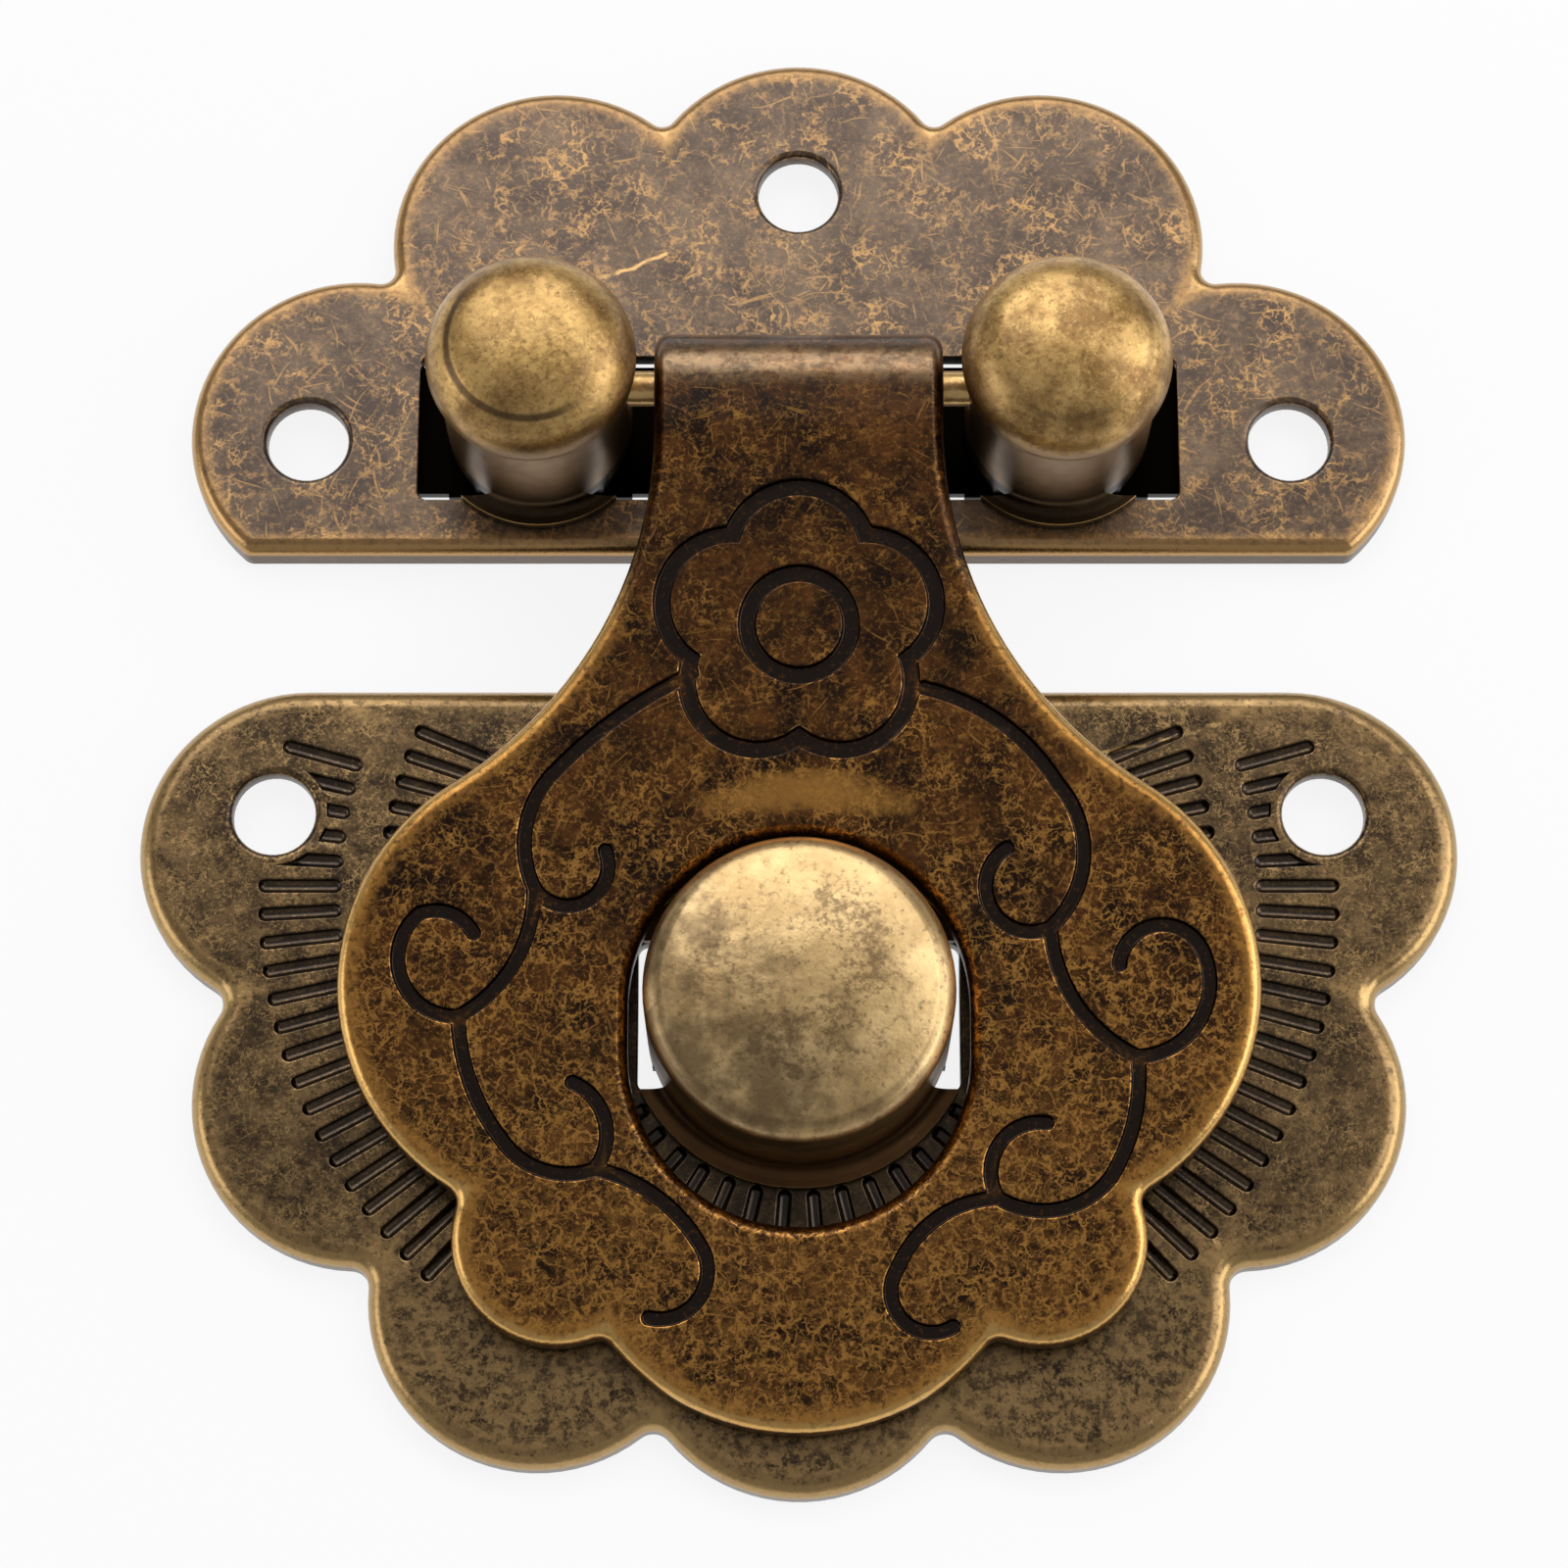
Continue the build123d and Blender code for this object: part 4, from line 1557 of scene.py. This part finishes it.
@dataclass
class SheetPiece:
    """A piece of sheet metal with its sharp edges broken, as tumbling in the plating drum leaves them.

    Attributes:
        node: The CAD node that it stands for.
        body: The body that it rides on.
        slot: The record's material slot.
        finish: Its finish.
        edge: How wide the broken edges are.
        steps: How many facets round a broken edge.
        sharp_deg: Edges that turn by more than this are broken.
        weld: Points nearer than this are one.
        flat_deg: Faces that turn by less than this are joined.
        lift: How far off the surface the feelers start.
        reach: How far off a wall still makes a hollow.
        leans_deg: How steeply the feelers lean that look for such walls.
        spokes: How many feelers there are at each lean.
        fills: Corners of the small blocks that are added to it.
    """

    node: str
    body: Body
    # slot: The record's material slot; not used.
    slot: Slot
    finish: AntiqueBrass
    edge: float = 0.06 * MM
    steps: int = 3
    sharp_deg: float = 40.0
    weld: float = 0.001 * MM
    flat_deg: float = 0.05
    lift: float = 0.02 * MM
    reach: float = 0.7 * MM
    leans_deg: Span = (22.0, 50.0)
    spokes: int = 8
    fills: tuple = ()
    piece: Object = field(init=False)

    def build(self, frame: dict) -> Object:
        """Copies the node, welds it, breaks its edges and finds its hollows.

        Args:
            frame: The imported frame.

        Returns:
            The new piece.
        """
        mesh = frame["nodes"][self.node].data.copy()
        mesh.name = f"{self.node}_soft"
        self.piece = bpy.data.objects.new(f"{self.node}_soft", mesh)
        bpy.context.scene.collection.objects.link(self.piece)
        take_up(self.piece)
        bpy.ops.mesh.customdata_custom_splitnormals_clear()
        bpy.ops.object.mode_set(mode="EDIT")
        bpy.ops.mesh.select_all(action="SELECT")
        bpy.ops.mesh.remove_doubles(threshold=self.weld)
        bpy.ops.mesh.dissolve_limited(angle_limit=math.radians(self.flat_deg))
        bpy.ops.object.mode_set(mode="OBJECT")
        self.break_edges()
        for low, high in self.fills:
            self.fill(low, high)
        self.smooth()
        self.feel_hollows()
        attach(self.piece, self.body.value)
        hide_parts(self.node)
        return self.piece

    def fill(self, low: Vector3, high: Vector3) -> None:
        """Adds a small block of metal to the piece, such as the root of a bent tab.

        Args:
            low: Its lowest corner.
            high: Its highest corner.
        """
        deselect_all()
        middle = [(first + last) / 2 for first, last in zip(low, high)]
        size = [last - first for first, last in zip(low, high)]
        bpy.ops.mesh.primitive_cube_add(size=1.0, location=middle, scale=size)
        block = bpy.context.object
        bpy.ops.object.transform_apply(location=True, rotation=True, scale=True)
        bpy.ops.object.mode_set(mode="EDIT")
        bpy.ops.mesh.select_all(action="SELECT")
        bpy.ops.mesh.bevel(offset=self.edge, segments=self.steps)
        bpy.ops.object.mode_set(mode="OBJECT")
        take_up(self.piece)
        block.select_set(True)
        bpy.ops.object.join()

    def break_edges(self) -> None:
        """Rounds the sharp edges."""
        soft = self.piece.modifiers.new("soft_edges", "BEVEL")
        soft.width = self.edge
        soft.segments = self.steps
        soft.limit_method = "ANGLE"
        soft.angle_limit = math.radians(self.sharp_deg)
        soft.use_clamp_overlap = False
        soft.loop_slide = False
        bpy.ops.object.modifier_apply(modifier=soft.name)

    def smooth(self) -> None:
        """Smooths the curved faces and keeps the flat ones flat to the light."""
        bpy.ops.object.shade_smooth_by_angle(angle=math.radians(self.sharp_deg))
        flat = self.piece.modifiers.new("flat_faces", "WEIGHTED_NORMAL")
        flat.keep_sharp = True
        bpy.ops.object.modifier_apply(modifier=flat.name)

    def feel_hollows(self) -> None:
        """Stores at each point how much of the space before it is walled in."""
        mesh = self.piece.data
        tree = BVHTree.FromPolygons(
            [point.co for point in mesh.vertices], [face.vertices[:] for face in mesh.polygons]
        )
        feelers = [
            (math.cos(lean) * math.cos(turn), math.cos(lean) * math.sin(turn), math.sin(lean))
            for lean in map(math.radians, self.leans_deg)
            for turn in (math.tau * spoke / self.spokes for spoke in range(self.spokes))
        ]
        shares = []
        for point in mesh.vertices:
            up = point.normal
            side = up.orthogonal().normalized()
            other = up.cross(side)
            start = point.co + up * self.lift
            hits = sum(
                tree.ray_cast(start, side * x + other * y + up * z, self.reach)[0] is not None
                for x, y, z in feelers
            )
            shares.append(hits / len(feelers))
        mesh.attributes.new(HOLLOW, "FLOAT", "POINT").data.foreach_set("value", shares)

    def dress(self) -> None:
        """Gives the piece its finish."""
        self.piece.data.materials.clear()
        self.piece.data.materials.append(self.finish.material())


@dataclass
class SubAssembly(ABC):
    """Pieces that are made and dressed together."""

    @abstractmethod
    def pieces(self) -> tuple[SheetPiece, ...]:
        """Lists the pieces."""

    def make(self, frame: dict) -> None:
        """Builds and dresses every piece.

        Args:
            frame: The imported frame.
        """
        for piece in self.pieces():
            made = piece.build(frame)
            piece.dress()
            LOG.info("%s: %d faces", made.name, len(made.data.polygons))


@dataclass
class LidSet(SubAssembly):
    """The lid plate with the two posts and the pin between them.

    Attributes:
        plate_edge: How wide the plate's broken edges are.
        post_edge: How wide the posts' are.
        pin_edge: How wide the pin's are.
        post_axis: Where the posts stand.
        root: How far from a post's axis the root of its bent tab starts and ends.
        root_half: Half the root's width.
        root_z: Its lower and upper height.
    """

    plate_edge: float = 0.06 * MM
    post_edge: float = 0.03 * MM
    pin_edge: float = 0.04 * MM
    post_axis: Span = (9.55 * MM, 12.5 * MM)
    root: Span = (1.66 * MM, 3.4 * MM)
    root_half: float = 2.62 * MM
    root_z: Span = (0.16 * MM, 0.55 * MM)

    def roots(self, side: int) -> tuple:
        """Places the roots of one post's two tabs.

        Args:
            side: 1 for the right post, -1 for the left one.

        Returns:
            The lowest and highest corner of each root.
        """
        x, y = side * self.post_axis[0], self.post_axis[1]
        ends = [sorted((x + turn * self.root[0], x + turn * self.root[1])) for turn in (-1, 1)]
        return tuple(
            ((low, y - self.root_half, self.root_z[0]), (high, y + self.root_half, self.root_z[1]))
            for low, high in ends
        )

    def pieces(self) -> tuple[SheetPiece, ...]:
        """Lists the plate, the posts and the pin."""
        posts = [
            SheetPiece(node, Body.PLATES, Slot.CAP, finish, self.post_edge, fills=self.roots(side))
            for node, finish, side in (
                ("left_post", LEFT_POST_FINISH, -1),
                ("right_post", RIGHT_POST_FINISH, 1),
            )
        ]
        return (
            SheetPiece("lid_plate", Body.PLATES, Slot.LID, LID_FINISH, self.plate_edge),
            *posts,
            SheetPiece("hinge_pin", Body.PLATES, Slot.PIN, PIN_FINISH, self.pin_edge),
        )


@dataclass
class Flap(SubAssembly):
    """The engraved flap.

    Attributes:
        edge: How wide its broken edges are, those of the engraving with them.
    """

    edge: float = 0.08 * MM

    def pieces(self) -> tuple[SheetPiece, ...]:
        """Lists the flap."""
        return (SheetPiece("hasp_flap", Body.FLAP, Slot.FLAP, FLAP_FINISH, self.edge),)


@dataclass
class StrikeSet(SubAssembly):
    """The strike plate with its catch button.

    Attributes:
        plate_edge: How wide the plate's broken edges are.
        button_edge: How wide the button's are.
    """

    plate_edge: float = 0.06 * MM
    button_edge: float = 0.03 * MM

    def pieces(self) -> tuple[SheetPiece, ...]:
        """Lists the plate and the button."""
        return (
            SheetPiece("strike_plate", Body.PLATES, Slot.STRIKE, STRIKE_FINISH, self.plate_edge),
            SheetPiece("catch_button", Body.PLATES, Slot.CAP, BUTTON_FINISH, self.button_edge),
        )


@dataclass(frozen=True)
class SoftBox:
    """One of the studio's soft lamps.

    Attributes:
        name: Its name.
        place: Where it hangs.
        size: Its width and height.
        radiance: How bright its face is, where 1 is white.
    """

    name: str
    place: Vector3
    size: Span
    radiance: float

    def hang(self, target: Vector) -> Object:
        """Hangs the lamp and turns it to the object.

        Args:
            target: The point that it faces.

        Returns:
            The lamp.
        """
        deselect_all()
        aim = (target - Vector(self.place)).to_track_quat("-Z", "Y").to_euler()
        bpy.ops.object.light_add(type="AREA", location=self.place, rotation=aim)
        lamp = bpy.context.object
        lamp.name = self.name
        lamp.data.shape = "RECTANGLE"
        lamp.data.size = self.size[0]
        lamp.data.size_y = self.size[1]
        lamp.data.energy = self.radiance * math.pi * self.size[0] * self.size[1]
        return lamp


@dataclass(frozen=True)
class ProductCamera:
    """The camera, as the photograph was taken.

    Attributes:
        aim: The point in the middle of the picture.
        tilt_deg: How far it leans from straight above, towards the box.
        distance: How far it stands from the aim.
        focal_px: Its focal length in pixels of the picture.
        picture_px: The picture's width.
        film_mm: The film's width.
        nearest: How near to it things are still seen.
    """

    aim: Vector3 = (-0.532 * MM, -1.35 * MM, 1.2 * MM)
    tilt_deg: float = 16.0
    distance: float = 160.0 * MM
    focal_px: float = 4512.0
    picture_px: float = 1600.0
    film_mm: float = 36.0
    nearest: float = 5 * MM

    def stand(self) -> Object:
        """Puts the camera up and makes it the scene's.

        Returns:
            The camera.
        """
        tilt = math.radians(self.tilt_deg)
        back = Vector((0.0, -math.sin(tilt), math.cos(tilt))) * self.distance
        deselect_all()
        bpy.ops.object.camera_add(location=Vector(self.aim) + back, rotation=(tilt, 0.0, 0.0))
        camera = bpy.context.object
        camera.name = "product_camera"
        camera.data.sensor_width = self.film_mm
        camera.data.lens = self.focal_px / self.picture_px * self.film_mm
        camera.data.clip_start = self.nearest
        bpy.context.scene.camera = camera
        return camera


@dataclass
class Studio:
    """The white table, the soft boxes round it and the plain light of the room.

    Attributes:
        table_size: The table's width.
        table_drop: How far it lies under the plates, so that their faces don't share a plane.
        table_colour: Its colour under the light.
        room: How bright the room is.
        shadow: How much of its shadow the table shows.
        boxes: The lamps.
    """

    table_size: float = 4.0
    table_drop: float = 0.02 * MM
    table_colour: Colour = (0.86, 0.87, 0.88, 1.0)
    room: float = 0.36
    shadow: float = 0.13
    boxes: tuple[SoftBox, ...] = (
        SoftBox("back_box", (-0.03, 0.22, 0.26), (0.34, 0.24), 2.2),
        SoftBox("left_box", (-0.34, -0.05, 0.13), (0.22, 0.18), 1.5),
        SoftBox("right_box", (0.33, -0.02, 0.14), (0.32, 0.2), 2.2),
        SoftBox("high_right_box", (0.21, 0.07, 0.26), (0.17, 0.2), 2.2),
    )

    def build(self) -> None:
        """Lays the table, hangs the lamps and lights the room."""
        deselect_all()
        bpy.ops.mesh.primitive_plane_add(size=self.table_size, location=(0.0, 0.0, -self.table_drop))
        table = bpy.context.object
        table.name = "table"
        table.data.materials.append(self.white())
        for box in self.boxes:
            box.hang(Vector(ORIGIN))
        self.light_room()

    def seen(self, graph: Graph) -> NodeSocket:
        """Tells rays that see the background from rays that carry its light.

        Args:
            graph: The graph that asks.

        Returns:
            1 for what the camera or a reflection sees, and 0 for light.
        """
        path = graph.node("LightPath")
        return graph.most(path.outputs["Is Camera Ray"], path.outputs["Is Glossy Ray"])

    def white(self) -> Material:
        """Makes the table white to look at, with a faint shadow on it.

        Returns:
            The table's material.
        """
        made = bpy.data.materials.new("white_table")
        made.use_nodes = True
        graph = Graph(made.node_tree)
        made.node_tree.nodes.remove(made.node_tree.nodes["Principled BSDF"])
        matt = graph.node("BsdfDiffuse")
        matt.inputs["Color"].default_value = self.table_colour
        glow = graph.node("Emission")
        both = graph.node("MixShader")
        graph.feed(both.inputs[0], graph.times(self.seen(graph), 1.0 - self.shadow))
        graph.feed(both.inputs[1], matt.outputs[0])
        graph.feed(both.inputs[2], glow.outputs[0])
        graph.feed(made.node_tree.nodes["Material Output"].inputs["Surface"], both.outputs[0])
        return made

    def light_room(self) -> None:
        """Gives the room an even light, and a white look where the table ends."""
        world = bpy.data.worlds.new("white_room")
        bpy.context.scene.world = world
        world.use_nodes = True
        graph = Graph(world.node_tree)
        background = world.node_tree.nodes["Background"]
        path = graph.node("LightPath")
        background.inputs["Color"].default_value = (1.0, 1.0, 1.0, 1.0)
        strength = graph.mix_value(path.outputs["Is Camera Ray"], self.room, 1.0)
        graph.feed(background.inputs["Strength"], strength)


def main() -> None:
    """Builds the latch, its studio and its camera."""
    logging.basicConfig(level=logging.INFO)
    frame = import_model()
    for assembly in (LidSet(), Flap(), StrikeSet()):
        assembly.make(frame)
    Studio().build()
    ProductCamera().stand()
    bpy.context.scene.view_settings.view_transform = "Standard"


if __name__ == "__main__":
    main()
